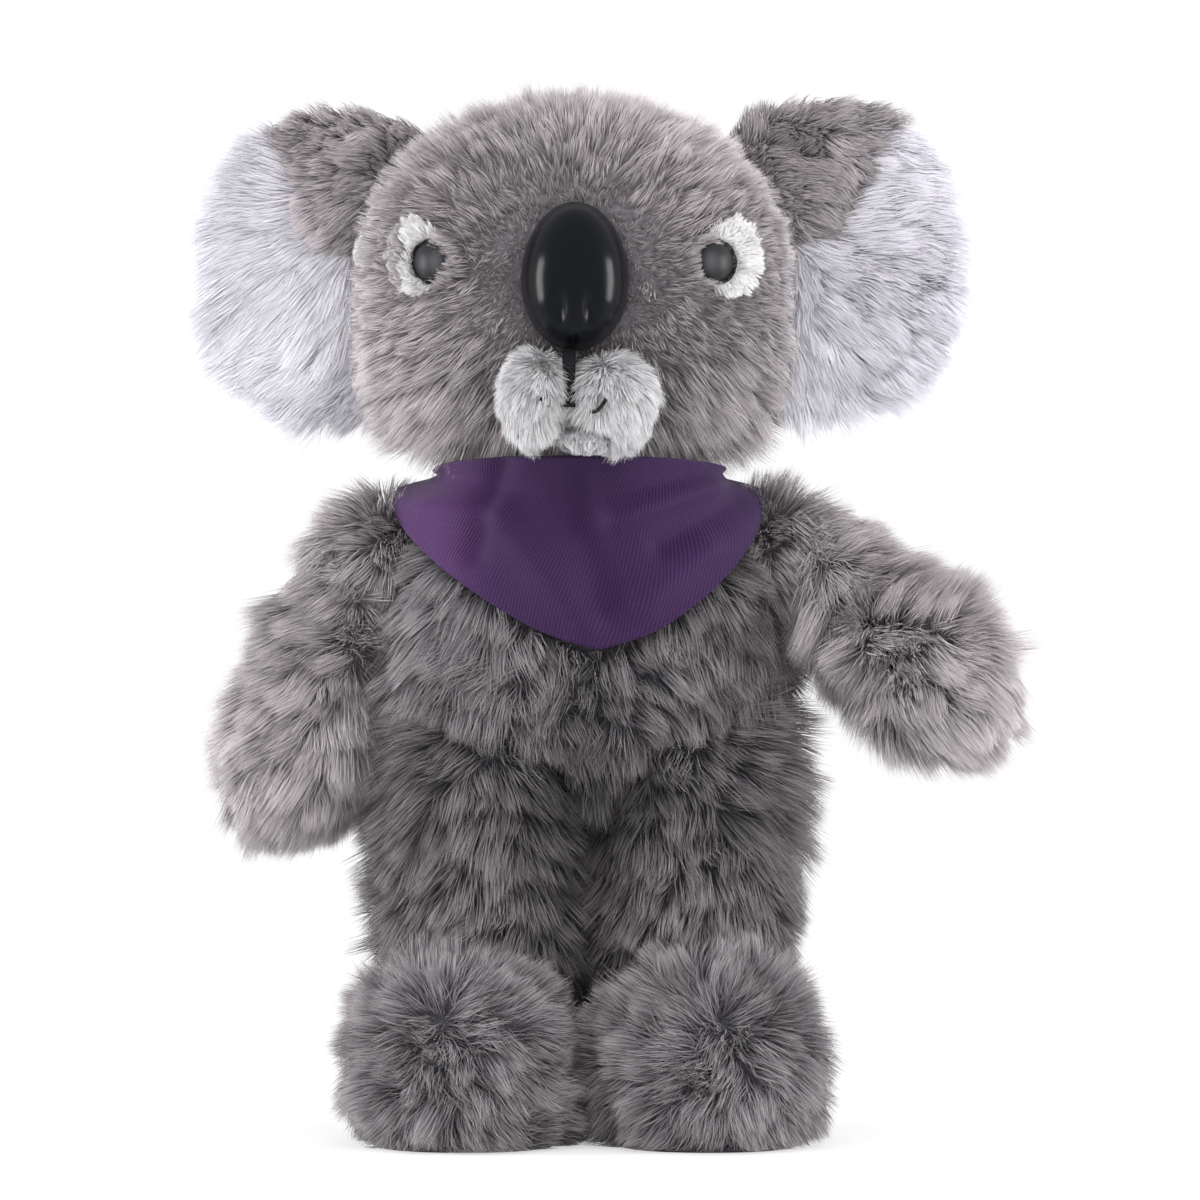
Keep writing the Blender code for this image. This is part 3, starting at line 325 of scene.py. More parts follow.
soft_shell("head", "head", grey_felt)
soft_shell("neck", "neck", grey_felt, inset=0.001)
soft_shell("torso", "torso", dark_felt)
soft_shell("chin", "head", white_felt, 0.0012, 0.001, 3)
for side in SIDES:
    soft_shell(f"muzzle_{side}", "head", white_felt, 0.0012, 0.0012, 3)
    soft_shell(f"eye_patch_{side}", "head", white_felt, 0.0007, 0.0002, 2)
    soft_shell(f"shoulder_{side}", f"shoulder_{side}", grey_felt, inset=0.001)
    soft_shell(f"arm_{side}", f"arm_{side}", grey_felt)
    soft_shell(f"leg_{side}", f"leg_{side}", dark_felt)
    soft_shell(f"foot_{side}", f"leg_{side}", dark_felt, inset=0.002)
    soft_shell(f"ear_front_{side}", f"ear_{side}", white_felt, 0.0014, 0.0006, 4)
    soft_shell(f"ear_back_{side}", f"ear_{side}", grey_felt, 0.0014, 0.0006, 4)
print("shells", len(shells), "faces", sum(len(shell.data.polygons) for shell in shells.values()))

# %% [markdown]
# ## Roots, tufts and strands
# Blender can grow hair, but hair isn't mesh and is lost when the toy is passed on. So a strand
# is a flat ribbon that narrows to a point, of three triangles. Its root is a random point of
# the shell. It leaves the shell between the shell's normal and the way that the pile is combed,
# and its tip bends further that way. Real pile gathers in locks, and locks in tufts, so every
# strand is pulled towards the mean strand of its lock and tuft, most of all at its tip.

# %% Even roots on a shell
def read_shell(piece):
    """A piece's corners, their normals, and its triangles, as arrays."""
    mesh = piece.data
    mesh.calc_loop_triangles()
    corners = np.empty(len(mesh.vertices) * 3)
    mesh.vertices.foreach_get("co", corners)
    normals = np.empty(len(mesh.vertices) * 3)
    mesh.vertex_normals.foreach_get("vector", normals)
    triangles = np.empty(len(mesh.loop_triangles) * 3, np.int32)
    mesh.loop_triangles.foreach_get("vertices", triangles)
    return corners.reshape(-1, 3), normals.reshape(-1, 3), triangles.reshape(-1, 3)


def even_roots(piece, count, chance):
    """Random points of a shell: a triangle is picked by its area, then a point in it by two shares."""
    corners, normals, triangles = read_shell(piece)
    a, b, c = (corners[triangles[:, k]] for k in range(3))
    area = np.linalg.norm(np.cross(b - a, c - a), axis=1) / 2
    pick = np.searchsorted(np.cumsum(area) / area.sum(), chance.random(count))
    first, second = chance.random((2, count, 1))
    fold = first + second > 1
    first = np.where(fold, 1 - first, first)
    second = np.where(fold, 1 - second, second)
    shares = (1 - first - second, first, second)
    roots = sum(shares[k] * corners[triangles[pick, k]] for k in range(3))
    facing = unit(sum(shares[k] * normals[triangles[pick, k]] for k in range(3)))
    return roots, facing


# %% Tufts, drift and room
FAR = 0.02
BLOCK = 2000


def drift(points, scale, seed):
    """A smooth random field of three numbers near each point: a sum of sine waves of about one size."""
    waves = np.random.default_rng(seed).normal(size=(7, 3, 3)) / scale
    turns = np.random.default_rng(seed + 1).uniform(0, 2 * math.pi, (7, 3))
    return np.stack([np.sin(points @ waves[:, k].T + turns[:, k]).sum(axis=1) / 2.6 for k in range(3)], axis=1)


def gather(points, size, seed):
    """The number of each point's tuft: its box on a grid that is turned and bent by a drift."""
    turned = points @ np.linalg.qr(np.random.default_rng(seed).normal(size=(3, 3)))[0]
    boxes = np.floor((turned + 0.35 * size * drift(points, 1.6 * size, seed + 5)) / size).astype(int)
    boxes -= boxes.min(axis=0)
    spans = boxes.max(axis=0) + 1
    return np.unique((boxes[:, 0] * spans[1] + boxes[:, 1]) * spans[2] + boxes[:, 2], return_inverse=True)[1]


def mean_of(values, group):
    """The mean of each group's rows, given back to every row."""
    flat = values.reshape(len(values), -1)
    size = np.bincount(group).astype(float)
    total = np.stack([np.bincount(group, flat[:, k]) for k in range(flat.shape[1])], axis=1)
    return (total / size[:, None])[group].reshape(values.shape)


def room_round(points, others):
    """How far each point is from the nearest corner of other shells, up to FAR, a block at a time."""
    room = np.full(len(points), FAR)
    for other in others:
        cloud = read_shell(shells[other])[0]
        near = np.all((points > cloud.min(axis=0) - FAR) & (points < cloud.max(axis=0) + FAR), axis=1)
        for block in np.array_split(np.flatnonzero(near), 1 + int(near.sum()) // BLOCK):
            if len(block):
                apart = ((points[block, None] - cloud[None, ::2]) ** 2).sum(axis=2)
                room[block] = np.minimum(room[block], np.sqrt(apart.min(axis=1)))
    return room


# %% Ribbons into a mesh
def ribbon_mesh(name, paths, facing, widths, tone):
    """Ribbons along paths: two corners at each step but the last, spread across the path and the facing."""
    count, stops, _ = paths.shape
    along = unit(np.gradient(paths, axis=1))
    out = unit(facing - (facing * along).sum(axis=2, keepdims=True) * along)
    across = np.cross(along, out) * widths[:, :, None] / 2
    pairs = np.stack([paths - across, paths + across], axis=2)[:, :-1].reshape(count, -1, 3)
    corners = np.concatenate([pairs, paths[:, -1:]], axis=1)
    each = corners.shape[1]
    quads = stops - 2
    low = 2 * np.arange(quads)[:, None] + np.array([0, 1, 3, 2])
    pattern = np.concatenate([low.ravel(), [each - 3, each - 2, each - 1]])
    loops = (np.arange(count)[:, None] * each + pattern).ravel()
    starts = np.arange(count)[:, None] * len(pattern) + 4 * np.arange(quads + 1)
    mesh = bpy.data.meshes.new(name)
    mesh.vertices.add(count * each)
    mesh.loops.add(len(loops))
    mesh.polygons.add(count * (quads + 1))
    mesh.vertices.foreach_set("co", corners.ravel())
    mesh.polygons.foreach_set("loop_start", starts.ravel().astype(np.int32))
    mesh.loops.foreach_set("vertex_index", loops.astype(np.int32))
    mesh.update(calc_edges=True)
    # A ribbon covers a narrow upright strip of the strand map, at its own tone
    u = tone[:, None] + np.append(np.tile([-0.004, 0.004], stops - 1), 0.0)
    v = np.append(np.repeat(np.linspace(0.01, 0.99, stops)[:-1], 2), 0.99)
    places = np.stack([u, np.broadcast_to(v, u.shape)], axis=2).reshape(-1, 2)
    layer = mesh.uv_layers.new(name=STRAND_MAP)
    layer.data.foreach_set("uv", places[loops].ravel())
    return mesh


# %% Grow the pile of one shell
STRAND_STEPS = 2
CROWDED = 0.0028
LOWEST = 0.0006


def at_each(value, roots):
    """A value worked out from the roots, or the same number at each of them."""
    return value(roots) if callable(value) else np.full(len(roots), value)


def grow_pile(name, body, finish, slot, count, length, comb, seed, shell=None, keep=None, avoid=(),
              lift=0.68, droop=0.45, width=0.00034, tuft=0.0065, lock=0.0021, pull=(0.42, 0.6),
              wild=0.2, squeezed=0.3, shade=0.0, calm=1.0):
    """Strands on a shell, which has the pile's name unless another is given.

    Comb is the way that the pile lies, lift how far it stands up from there, and droop how far
    its tip bends over. Tuft and lock are sizes, and pull says how much they draw together. Wild
    strands stray, and those near the shells to avoid are squeezed. Shade is added to the tone,
    and calm lets the tone vary less. Comb and keep read the roots and their normals.
    """
    chance = np.random.default_rng(seed)
    roots, facing = even_roots(shells[shell or name], count, chance)
    room = room_round(roots, avoid)
    kept = room > CROWDED
    if keep is not None:
        kept &= keep(roots, facing)
    roots, facing, room = roots[kept], facing[kept], room[kept]
    number = len(roots)
    # The ways that each strand leaves the shell and ends: between the normal and its own lean
    combed = comb(roots, facing)
    combed = unit(combed - (combed * facing).sum(axis=1, keepdims=True) * facing)
    tufts = gather(roots, tuft, seed + 11)
    locks = gather(roots, lock, seed + 23)
    own = chance.normal(size=(number, 3)) * wild
    tuft_own = chance.normal(size=(tufts.max() + 1, 3))[tufts] * wild * 1.3
    lean = combed + 0.35 * drift(roots, 0.02, seed + 31) + tuft_own + own
    lift = at_each(lift, roots)[:, None]
    first = unit(facing * lift + lean * (1 - lift) + 0.4 * own)
    last = unit(first + droop * (lean - 0.3 * facing))
    # Its size, which is less where there is little room
    size = at_each(length, roots) * chance.uniform(0.72, 1.1, number)
    size = size * (1 + 0.15 * chance.normal(size=tufts.max() + 1)[tufts])
    size = size * np.clip((room - 0.0015) / 0.010, squeezed, 1.0)
    # Its path: from the root along the first way, turned evenly to the last, then drawn together
    t = np.linspace(0, 1, STRAND_STEPS + 1)[None, :, None]
    paths = roots[:, None] + size[:, None, None] * (t * first[:, None] + t**2 / 2 * (last - first)[:, None])
    for group, share in ((tufts, pull[0]), (locks, pull[1])):
        paths = paths + (mean_of(paths, group) - paths) * share * t**1.2
    paths[:, :, 2] = np.maximum(paths[:, :, 2], LOWEST)
    # Its tone, which varies from strand to strand, tuft to tuft and place to place
    varied = 0.09 * chance.normal(size=number) + 0.12 * chance.normal(size=tufts.max() + 1)[tufts]
    tone = 0.5 + calm * (varied + 0.10 * drift(roots, 0.012, seed + 41)[:, 0]) + at_each(shade, roots)
    # Its ribbon, which is turned at random and narrows to a point
    twist = unit(facing + 0.5 * chance.normal(size=(number, 3)))
    taper = width * (1 - 0.6 * t[0, :, 0]) * chance.uniform(0.8, 1.2, (number, 1))
    name = f"{name}_strands"
    mesh = ribbon_mesh(name, paths, np.broadcast_to(twist[:, None], paths.shape), taper, np.clip(tone, 0.02, 0.98))
    mesh.materials.append(finish)
    piece = put(name, mesh)
    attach(piece, body)
    print(name, number, "strands")


# %% [markdown]
# ## The pile of each piece
# The pile isn't combed the same way everywhere. On the head it runs away from the nose, on the
# body and legs down, on the arms from shoulder to tip, and on the feet round a crown in front.
# It is short on the face and long on the body. Where two shells touch it is trimmed, as it is
# squeezed flat there.

# %% The head
HEAD_MIDDLE_X = -0.0094
NOSE_REACH = 0.0125
EYE_REACH = 0.0055
nose_low, nose_high = box("nose")
nose_spot = np.array([(nose_low[0] + nose_high[0]) / 2, nose_high[1], (nose_low[2] + nose_high[2]) / 2])
eye_spots = [middle_of(f"eye_{side}") for side in SIDES]


def away_from_nose(roots, facing):
    """The way from the nose over the head, with a little of its own weight downwards."""
    return unit(roots - (nose_spot + (0, 0.02, -0.004))) + (0, 0, -0.15)


def front_apart(roots, spot):
    """How far roots on the front of the head are from a spot, seen from the front."""
    return np.where(roots[:, 1] < 0, np.hypot(roots[:, 0] - spot[0], roots[:, 2] - spot[2]), 1.0)


def head_length(roots):
    """Short by the nose and eyes, longer on the low cheeks and crown, and shorter again at the ears."""
    near = np.minimum(front_apart(roots, nose_spot) - 0.016, 0.03)
    for spot in eye_spots:
        beyond = (roots[:, 0] - spot[0]) * np.sign(spot[0] - nose_spot[0])
        near = np.minimum(near, front_apart(roots, spot) - 0.004 + np.where(beyond < 0, 0.012, 0.0))
    by_ears = np.interp(np.abs(roots[:, 0] - HEAD_MIDDLE_X), [0.045, 0.06], [1.0, 0.62])
    low_cheek = np.interp(roots[:, 2], [0.212, 0.236], [1.9, 1.0])
    return np.interp(near, [0.0, 0.024], [0.004, 0.0095]) * by_ears * low_cheek


def off_the_nose(roots, facing):
    """Nothing grows under the nose or through an eye."""
    clear = front_apart(roots, nose_spot) > NOSE_REACH
    for spot in eye_spots:
        clear &= np.linalg.norm(roots - spot, axis=1) > EYE_REACH
    return clear


def shade_painted_by_the_nose(roots):
    """Painted shade: the pile is darker close round the nose, in a wedge above it, under the jowls, and on the
    left cheek, away from the light.
    """
    x, z = (roots - nose_spot)[:, 0], (roots - nose_spot)[:, 2]
    wedge = np.exp(-((x / 0.007) ** 2)) * np.interp(z, [0.014, 0.020, 0.042], [0, 1, 0])
    beside = np.exp(-(((np.abs(x) - 0.026) / 0.008) ** 2))
    jowl = beside * np.interp(z, [-0.050, -0.038, -0.026, -0.016], [1, 1, 1, 0])
    close = np.clip(1 - (front_apart(roots, nose_spot) - 0.014) / 0.02, 0, 1)
    left_cheek = np.clip((x - 0.015) / 0.02, 0, 1) * np.interp(z, [0.0, 0.020], [1, 0])
    return 0.06 - 0.35 * close - 0.25 * wedge - 0.32 * jowl - 0.14 * left_cheek


grow_pile("head", "head", head_pile, "grey_plush", 66000, head_length, away_from_nose, 101,
          keep=off_the_nose, avoid=("muzzle_right", "muzzle_left", "chin"), lift=0.84, droop=0.35, width=0.0003,
          tuft=0.0055, lock=0.0018, pull=(0.36, 0.5), wild=0.28, squeezed=0.45, shade=shade_painted_by_the_nose)

# %% The torso and neck
NECK_MIDDLE = (-0.008, 0.008)
GROOVE_X = -0.0058
ARMPIT = (0.058, 0.140)
JOINTED = ("neck", "shoulder_right", "shoulder_left", "arm_right", "arm_left")
# The bandana's edge: turns round the neck in degrees from the front, and the edge's height
EDGE_HEIGHT = (
    (0, 0.1432), (15, 0.1484), (30, 0.1562), (45, 0.1645), (58, 0.1715), (70, 0.1775),
    (80, 0.1825), (90, 0.1862), (105, 0.1875), (135, 0.1840), (180, 0.1800),
)


def downwards(roots, facing):
    """Straight down, spreading a little to the sides."""
    x, y = roots[:, 0] - NECK_MIDDLE[0], roots[:, 1] - NECK_MIDDLE[1]
    return np.stack([6 * x, 3 * y, np.full(len(roots), -1.0)], axis=1)


def not_under_cloth(roots, facing):
    """Nothing grows under the bandana: above its edge, at the root's own turn round the neck."""
    sideways = np.abs(roots[:, 0] - NECK_MIDDLE[0] - 0.003)
    away = np.degrees(np.arctan2(sideways, NECK_MIDDLE[1] - roots[:, 1]))
    edge = np.interp(away, *np.transpose(EDGE_HEIGHT))
    return roots[:, 2] < edge - 0.001


def near_armpit(roots):
    """1 in the left armpit, where the arm's pile and the body's meet, down to 0 about 25 mm away."""
    return np.exp(-((roots[:, 0] - ARMPIT[0]) ** 2 + (roots[:, 2] - ARMPIT[1]) ** 2) / 0.015**2)


def torso_length(roots):
    """Full on the chest and back, fuller in the armpit, and ragged at the hem above the legs."""
    ragged = 1 + 0.5 * drift(roots, 0.006, 61)[:, 0] * np.interp(roots[:, 2], [0.105, 0.125], [1.0, 0.0])
    return np.interp(roots[:, 2], [0.096, 0.112], [0.015, 0.0155]) * ragged + 0.006 * near_armpit(roots)


def torso_lift(roots):
    """The pile stands out on the chest and lies down over the tops of the legs."""
    return np.interp(roots[:, 2], [0.100, 0.125], [0.28, 0.6])


def shade_painted_in_the_groove(roots):
    """Painted shade in the crease that runs up from between the legs, where the pile parts, and in a band where
    the torso's hem meets the tops of the legs.
    """
    beside = np.exp(-(((roots[:, 0] - GROOVE_X) / 0.011) ** 2))
    crease = np.interp(roots[:, 2], [0.088, 0.094, 0.104, 0.112], [0.0, 1.0, 1.0, 0.0])
    return -0.5 * beside * np.interp(roots[:, 2], [0.120, 0.150], [1.0, 0.0]) - 0.16 * crease


grow_pile("torso", "torso", body_pile, "dark_plush", 66000, torso_length, downwards, 202, keep=not_under_cloth,
          avoid=JOINTED, lift=torso_lift, droop=0.6, pull=(0.38, 0.5), squeezed=0.6, calm=0.6,
          shade=shade_painted_in_the_groove)
grow_pile("neck", "neck", head_pile, "grey_plush", 5000, 0.006, downwards, 212, avoid=("torso",))

# %% The arms
def arm_length(roots):
    """Even, and longer in the armpit."""
    return 0.0170 + 0.008 * near_armpit(roots)


for side in SIDES:
    arm, shoulder = f"arm_{side}", f"shoulder_{side}"
    reach = unit(middle_of(arm) - middle_of(shoulder))

    def along_arm(roots, facing):
        """From the shoulder to the tip, with its weight downwards."""
        return reach + (0, 0, -0.35) + np.zeros_like(roots)

    # Painted light: the left arm's pile is made lighter than the right arm's, though both are the same pile.
    grow_pile(arm, arm, arm_pile, "grey_plush", 50000, arm_length, along_arm, 303 + len(side), lift=0.62,
              droop=0.5, pull=(0.36, 0.5), calm=0.85, shade=0.22 if side == "left" else 0.0)
    grow_pile(shoulder, shoulder, arm_pile, "grey_plush", 10000, 0.0145, along_arm, 313 + len(side), lift=0.75,
              droop=0.3, keep=lambda roots, facing: facing[:, 2] > -0.9)

# %% The legs and feet
FEET_MIDDLE_X = -0.0072
for side, sign in SIDES.items():
    leg, foot = f"leg_{side}", f"foot_{side}"
    crown = np.array([FEET_MIDDLE_X + sign * 0.0418, box(foot)[0, 1], 0.043 - sign * 0.003])

    def from_crown(roots, facing):
        """Away from the crown in front of the foot and turning round it, with its weight downwards."""
        away = unit(roots - crown)
        swirl = np.cross(away, (0, -1.0, 0))
        return away + 0.7 * swirl * sign + 0.5 * drift(roots, 0.012, 91) + (0, 0, -0.35)

    def leg_length(roots):
        """Full at the top, where the torso's hem hangs over, and longest between the legs."""
        inner = np.clip((GROOVE_X + sign * 0.014 - roots[:, 0]) * sign / 0.010, 0, 1)
        return np.interp(roots[:, 2], [0.070, 0.095], [0.0150, 0.0185]) + 0.003 * inner

    grow_pile(leg, leg, body_pile, "dark_plush", 38000, leg_length, downwards, 404 + len(side), avoid=("torso",),
              lift=0.72, droop=0.5, pull=(0.38, 0.5), squeezed=1.0, calm=0.6, shade=shade_painted_in_the_groove)
    grow_pile(foot, leg, body_pile, "dark_plush", 44000, 0.015, from_crown, 505 + len(side), avoid=(leg,),
              lift=0.6, pull=(0.42, 0.55), wild=0.3, calm=0.6, shade=0.12,
              keep=lambda roots, facing: roots[:, 2] > 0.004)

# %% The ears
def grey_part(roots):
    """The upper inner corner of an ear's front, which is grey: above 257 mm and inside a slanting line."""
    ragged = 0.003 * drift(roots, 0.005, 71)[:, 0]
    inside = np.abs(roots[:, 0] - HEAD_MIDDLE_X) < 0.0685 + (roots[:, 2] - 0.260) * 0.6 + ragged
    return inside & (roots[:, 2] > 0.257 + ragged)


def white_front(roots, facing):
    """The front layer's white pile grows forwards, outside the grey corner."""
    return (facing[:, 1] < 0.75) & ~grey_part(roots)


def grey_front(roots, facing):
    """The front layer's grey corner."""
    return (facing[:, 1] < 0.75) & grey_part(roots)


def fringe(roots):
    """The back layer's grey pile: full behind the grey corner, and a thin fringe round the white."""
    return np.interp(roots[:, 2], [0.245, 0.270], [0.004, 0.009])


for side, sign in SIDES.items():
    ear, front = f"ear_{side}", f"ear_front_{side}"
    ear_root = np.array([NECK_MIDDLE[0] + sign * 0.045, 0.0, 0.262])

    def from_ear_root(roots, facing):
        """Fans out from the inner edge of the ear, and falls a little."""
        return unit(roots - ear_root) * (1, 0.3, 1) + (0, 0, -0.35)

    def combed_back(roots, facing):
        """Fans out from the inner edge and backwards, so that the back layer stays behind."""
        return unit(roots - ear_root) * (1, 0.3, 1) + (0, 0.9, -0.2)

    # Painted light: the left ear's white pile and the right ear's grey corner are made lighter than the same piles
    # on the other ear.
    grow_pile(front, ear, white_pile, "white_plush", 60000, 0.0125, from_ear_root, 606 + len(side),
              keep=white_front, avoid=("head",), lift=0.42, droop=0.35, pull=(0.2, 0.35), wild=0.13, squeezed=0.7,
              shade=0.3 if side == "left" else 0.0)
    grow_pile(f"{front}_grey", ear, head_pile, "grey_plush", 60000, 0.011, from_ear_root, 616 + len(side), front,
              keep=grey_front, avoid=("head",), lift=0.6, droop=0.4, shade=0.16 if side == "right" else 0.0)
    grow_pile(f"ear_back_{side}", ear, head_pile, "grey_plush", 38000, fringe, combed_back, 707 + len(side),
              keep=lambda roots, facing: facing[:, 1] > 0.1, avoid=("head",), lift=0.5, droop=0.4, squeezed=0.7)

# %% The muzzle, the chin and the eye patches
seam_low, seam_high = box("philtrum_stitch")
seam_x = (seam_low[0] + seam_high[0]) / 2


def round_lobe(roots, facing):
    """From under the nose outwards and down over the lobe, and inwards where the lobes meet at the seam."""
    over = unit(roots - (nose_spot - (0, 0, 0.020))) * (0.8, 0, 1) + (0, 0, -0.7)
    beside = np.clip(1 - np.abs(roots[:, 0] - seam_x) / 0.009, 0, 1)
    below = np.clip((seam_low[2] + 0.003 - roots[:, 2]) / 0.004, 0, 1)
    over[:, 0] -= 2.2 * np.sign(roots[:, 0] - seam_x) * beside * below
    return over


def lobe_length(roots):
    """Longest at the lower edge, where the pile hangs over the chin."""
    return np.interp(roots[:, 2], [seam_low[2] - 0.008, seam_low[2]], [0.0100, 0.0068])


def over_chin(roots, facing):
    """Forwards and down over the chin."""
    return np.array([0, -0.4, -0.8]) + np.zeros_like(roots)


FINE = {"tuft": 0.003, "lock": 0.0012}
for side, sign in SIDES.items():
    lobe, patch = f"muzzle_{side}", f"eye_patch_{side}"
    eye_middle = middle_of(f"eye_{side}")

    def round_eye(roots, facing):
        """Away from the eye over its patch."""
        return unit(roots - eye_middle)

    def across_eye(roots, facing):
        """Outwards over the rim of the eye."""
        return np.array([sign, -0.25, 0.0]) + np.zeros_like(roots)

    def outer_half(roots, facing):
        """The crescent on the far side of the eye from the nose, which shows white."""
        beyond = (roots[:, 0] - eye_middle[0]) * sign + 0.0006 * drift(roots, 0.002, 97)[:, 0]
        return (beyond > -0.0010) & (beyond < 0.0110 + 0.0025 * sign) & (facing[:, 1] < 0.5)

    def inner_rim(roots, facing):
        """A narrow crescent of the face, close to the eye on the side of the nose."""
        apart = front_apart(roots, eye_middle)
        return (apart > 0.0042) & (apart < 0.0088) & ((roots[:, 0] - eye_middle[0]) * sign < -0.0020)

    grow_pile(lobe, "head", muzzle_pile, "muzzle_plush", 18000, lobe_length, round_lobe, 808 + len(side),
              keep=lambda roots, facing: facing[:, 1] < 0.4, lift=0.46, width=0.00028, tuft=0.0035, lock=0.0013,
              pull=(0.2, 0.4), wild=0.13)
    grow_pile(patch, "head", patch_pile, "white_plush", 7000, 0.0036, round_eye, 818 + len(side),
              keep=outer_half, lift=0.4, width=0.00028, **FINE)
    grow_pile(f"{patch}_grey", "head", head_pile, "grey_plush", 12000, 0.0045, away_from_nose, 838 + len(side),
              patch, keep=lambda roots, facing: ~outer_half(roots, facing), lift=0.7, droop=0.3,
              shade=-0.25, **FINE)
    # The rim is so small a part of the head that few of the roots drawn fall on it
    grow_pile(f"eye_rim_{side}", "head", head_pile, "grey_plush", 500000, 0.0066, across_eye, 858 + len(side),
              "head", keep=inner_rim, lift=0.66, droop=0.3, wild=0.14, shade=-0.12, **FINE)
grow_pile("chin", "head", muzzle_pile, "muzzle_plush", 5000, 0.003, over_chin, 828,
          lift=0.5, width=0.00028, **FINE)

# %% [markdown]
# ## Surfaces from a grid
# The bandana, the nose and the eyes have plain shapes, and a formula gives them more evenly than
# pushing points about. Each one is a grid of points: rows along the piece, and round each row a
# closed loop. One function turns such a grid into a closed skin and turns its faces outwards.

# %% A closed skin over a grid of points
WEAVE_MAP = "weave"
SQUARENESS = 2.3


def skin(name, grid, finish, looped=False, weave=None):
    """Quads between neighbouring loops; the rows close on themselves, or end in a point at their middle."""
    rows, cols, _ = grid.shape
    index = np.arange(rows * cols).reshape(rows, cols)
    if looped:
        index = np.vstack([index, index[:1]])
    low, high = index[:-1], index[1:]
    quads = np.stack([low, np.roll(low, -1, 1), np.roll(high, -1, 1), high], axis=2).reshape(-1, 4)
    corners = grid.reshape(-1, 3)
    faces = quads.tolist()
    if not looped:
        corners = np.vstack([corners, grid[0].mean(axis=0), grid[-1].mean(axis=0)])
        first, last = index[0], index[-1]
        faces += np.stack([np.roll(first, -1), first, np.full(cols, rows * cols)], axis=1).tolist()
        faces += np.stack([last, np.roll(last, -1), np.full(cols, rows * cols + 1)], axis=1).tolist()
    a, b, c, d = (corners[quads[:, k]] for k in range(4))
    volume = np.sum(a * np.cross(b, c)) + np.sum(a * np.cross(c, d))
    if volume < 0:
        faces = [face[::-1] for face in faces]
    mesh = bpy.data.meshes.new(name)
    mesh.from_pydata(corners.tolist(), [], faces)
    mesh.shade_smooth()
    mesh.materials.append(finish)
    if weave is not None:
        layer = mesh.uv_layers.new(name=WEAVE_MAP)
        loops = np.empty(len(mesh.loops), np.int32)
        mesh.loops.foreach_get("vertex_index", loops)
        layer.data.foreach_set("uv", weave.reshape(-1, 2)[loops].ravel())
    return put(name, mesh)


def capped(weave):
    """A map for a skin that ends in two points: the grid's own places, and one more for each point."""
    return np.vstack([weave.reshape(-1, 2), weave[0, 0], weave[-1, 0]])


def eased(table, at):
    """A smooth curve through a table's rows: cubics between rows, with slopes taken from their neighbours."""
    x, y = np.asarray(table, float).T
    slope = np.gradient(y, x)
    k = np.clip(np.searchsorted(x, at) - 1, 0, len(x) - 2)
    span = x[k + 1] - x[k]
    t = (at - x[k]) / span
    start = (2 * t**3 - 3 * t**2 + 1) * y[k] + (t**3 - 2 * t**2 + t) * span * slope[k]
    return start + (3 * t**2 - 2 * t**3) * y[k + 1] + (t**3 - t**2) * span * slope[k + 1]


def bent(value):
    """A sine or cosine bent towards a square: its size to a power, with its sign kept."""
    return np.sign(value) * np.abs(value) ** (2 / SQUARENESS)


# %% [markdown]
# ## The bandana
# The cloth is a purple twill, cut as a triangle, rolled at its top and tied behind. A drape could
# be simulated, but the band has to stay clear of the arms and head as they move. So its surface
# is worked out: how high the top and the edge lie at each turn round the neck, how wide it is on
# the way down, and a few soft folds added where the photograph shows them.

# %% The bandana's surface
CLOTH_THICKNESS = 0.0009
TOP_HEIGHT, TOP_RISE, TIP_SHIFT = 0.1902, 0.0080, 0.0060
HALF_WIDTH, FRONT_DEPTH, BACK_DEPTH = 0.0530, 0.0488, 0.0370
# Each row is a share of the way down the cloth, and the cloth's width or depth there
BAND_WIDTH = ((0, 0.79), (0.18, 0.765), (0.38, 0.81), (0.60, 0.92), (0.80, 0.99), (1, 1.01))
BAND_FRONT = ((0, 0.92), (0.18, 0.89), (0.34, 0.92), (0.56, 0.97), (0.78, 0.99), (1, 1.00))
BAND_BACK = ((0, 0.93), (0.18, 0.92), (0.34, 0.96), (0.56, 1.00), (0.78, 1.01), (1, 1.02))
# Seen from the front, from one end to the other: x, z, x, z, then its width and height
FOLDS = (
    (0.042, 0.192, 0.010, 0.180, 0.0036, 0.0038),
    (0.046, 0.184, 0.024, 0.172, 0.0034, -0.0028),
    (-0.048, 0.186, -0.022, 0.181, 0.0044, 0.0036),
    (-0.022, 0.196, -0.030, 0.170, 0.0036, -0.0026),
    (0.000, 0.192, 0.008, 0.158, 0.0068, -0.0030),
    (-0.016, 0.172, 0.002, 0.151, 0.0054, 0.0026),
    (0.036, 0.172, 0.018, 0.156, 0.0046, 0.0026),
)


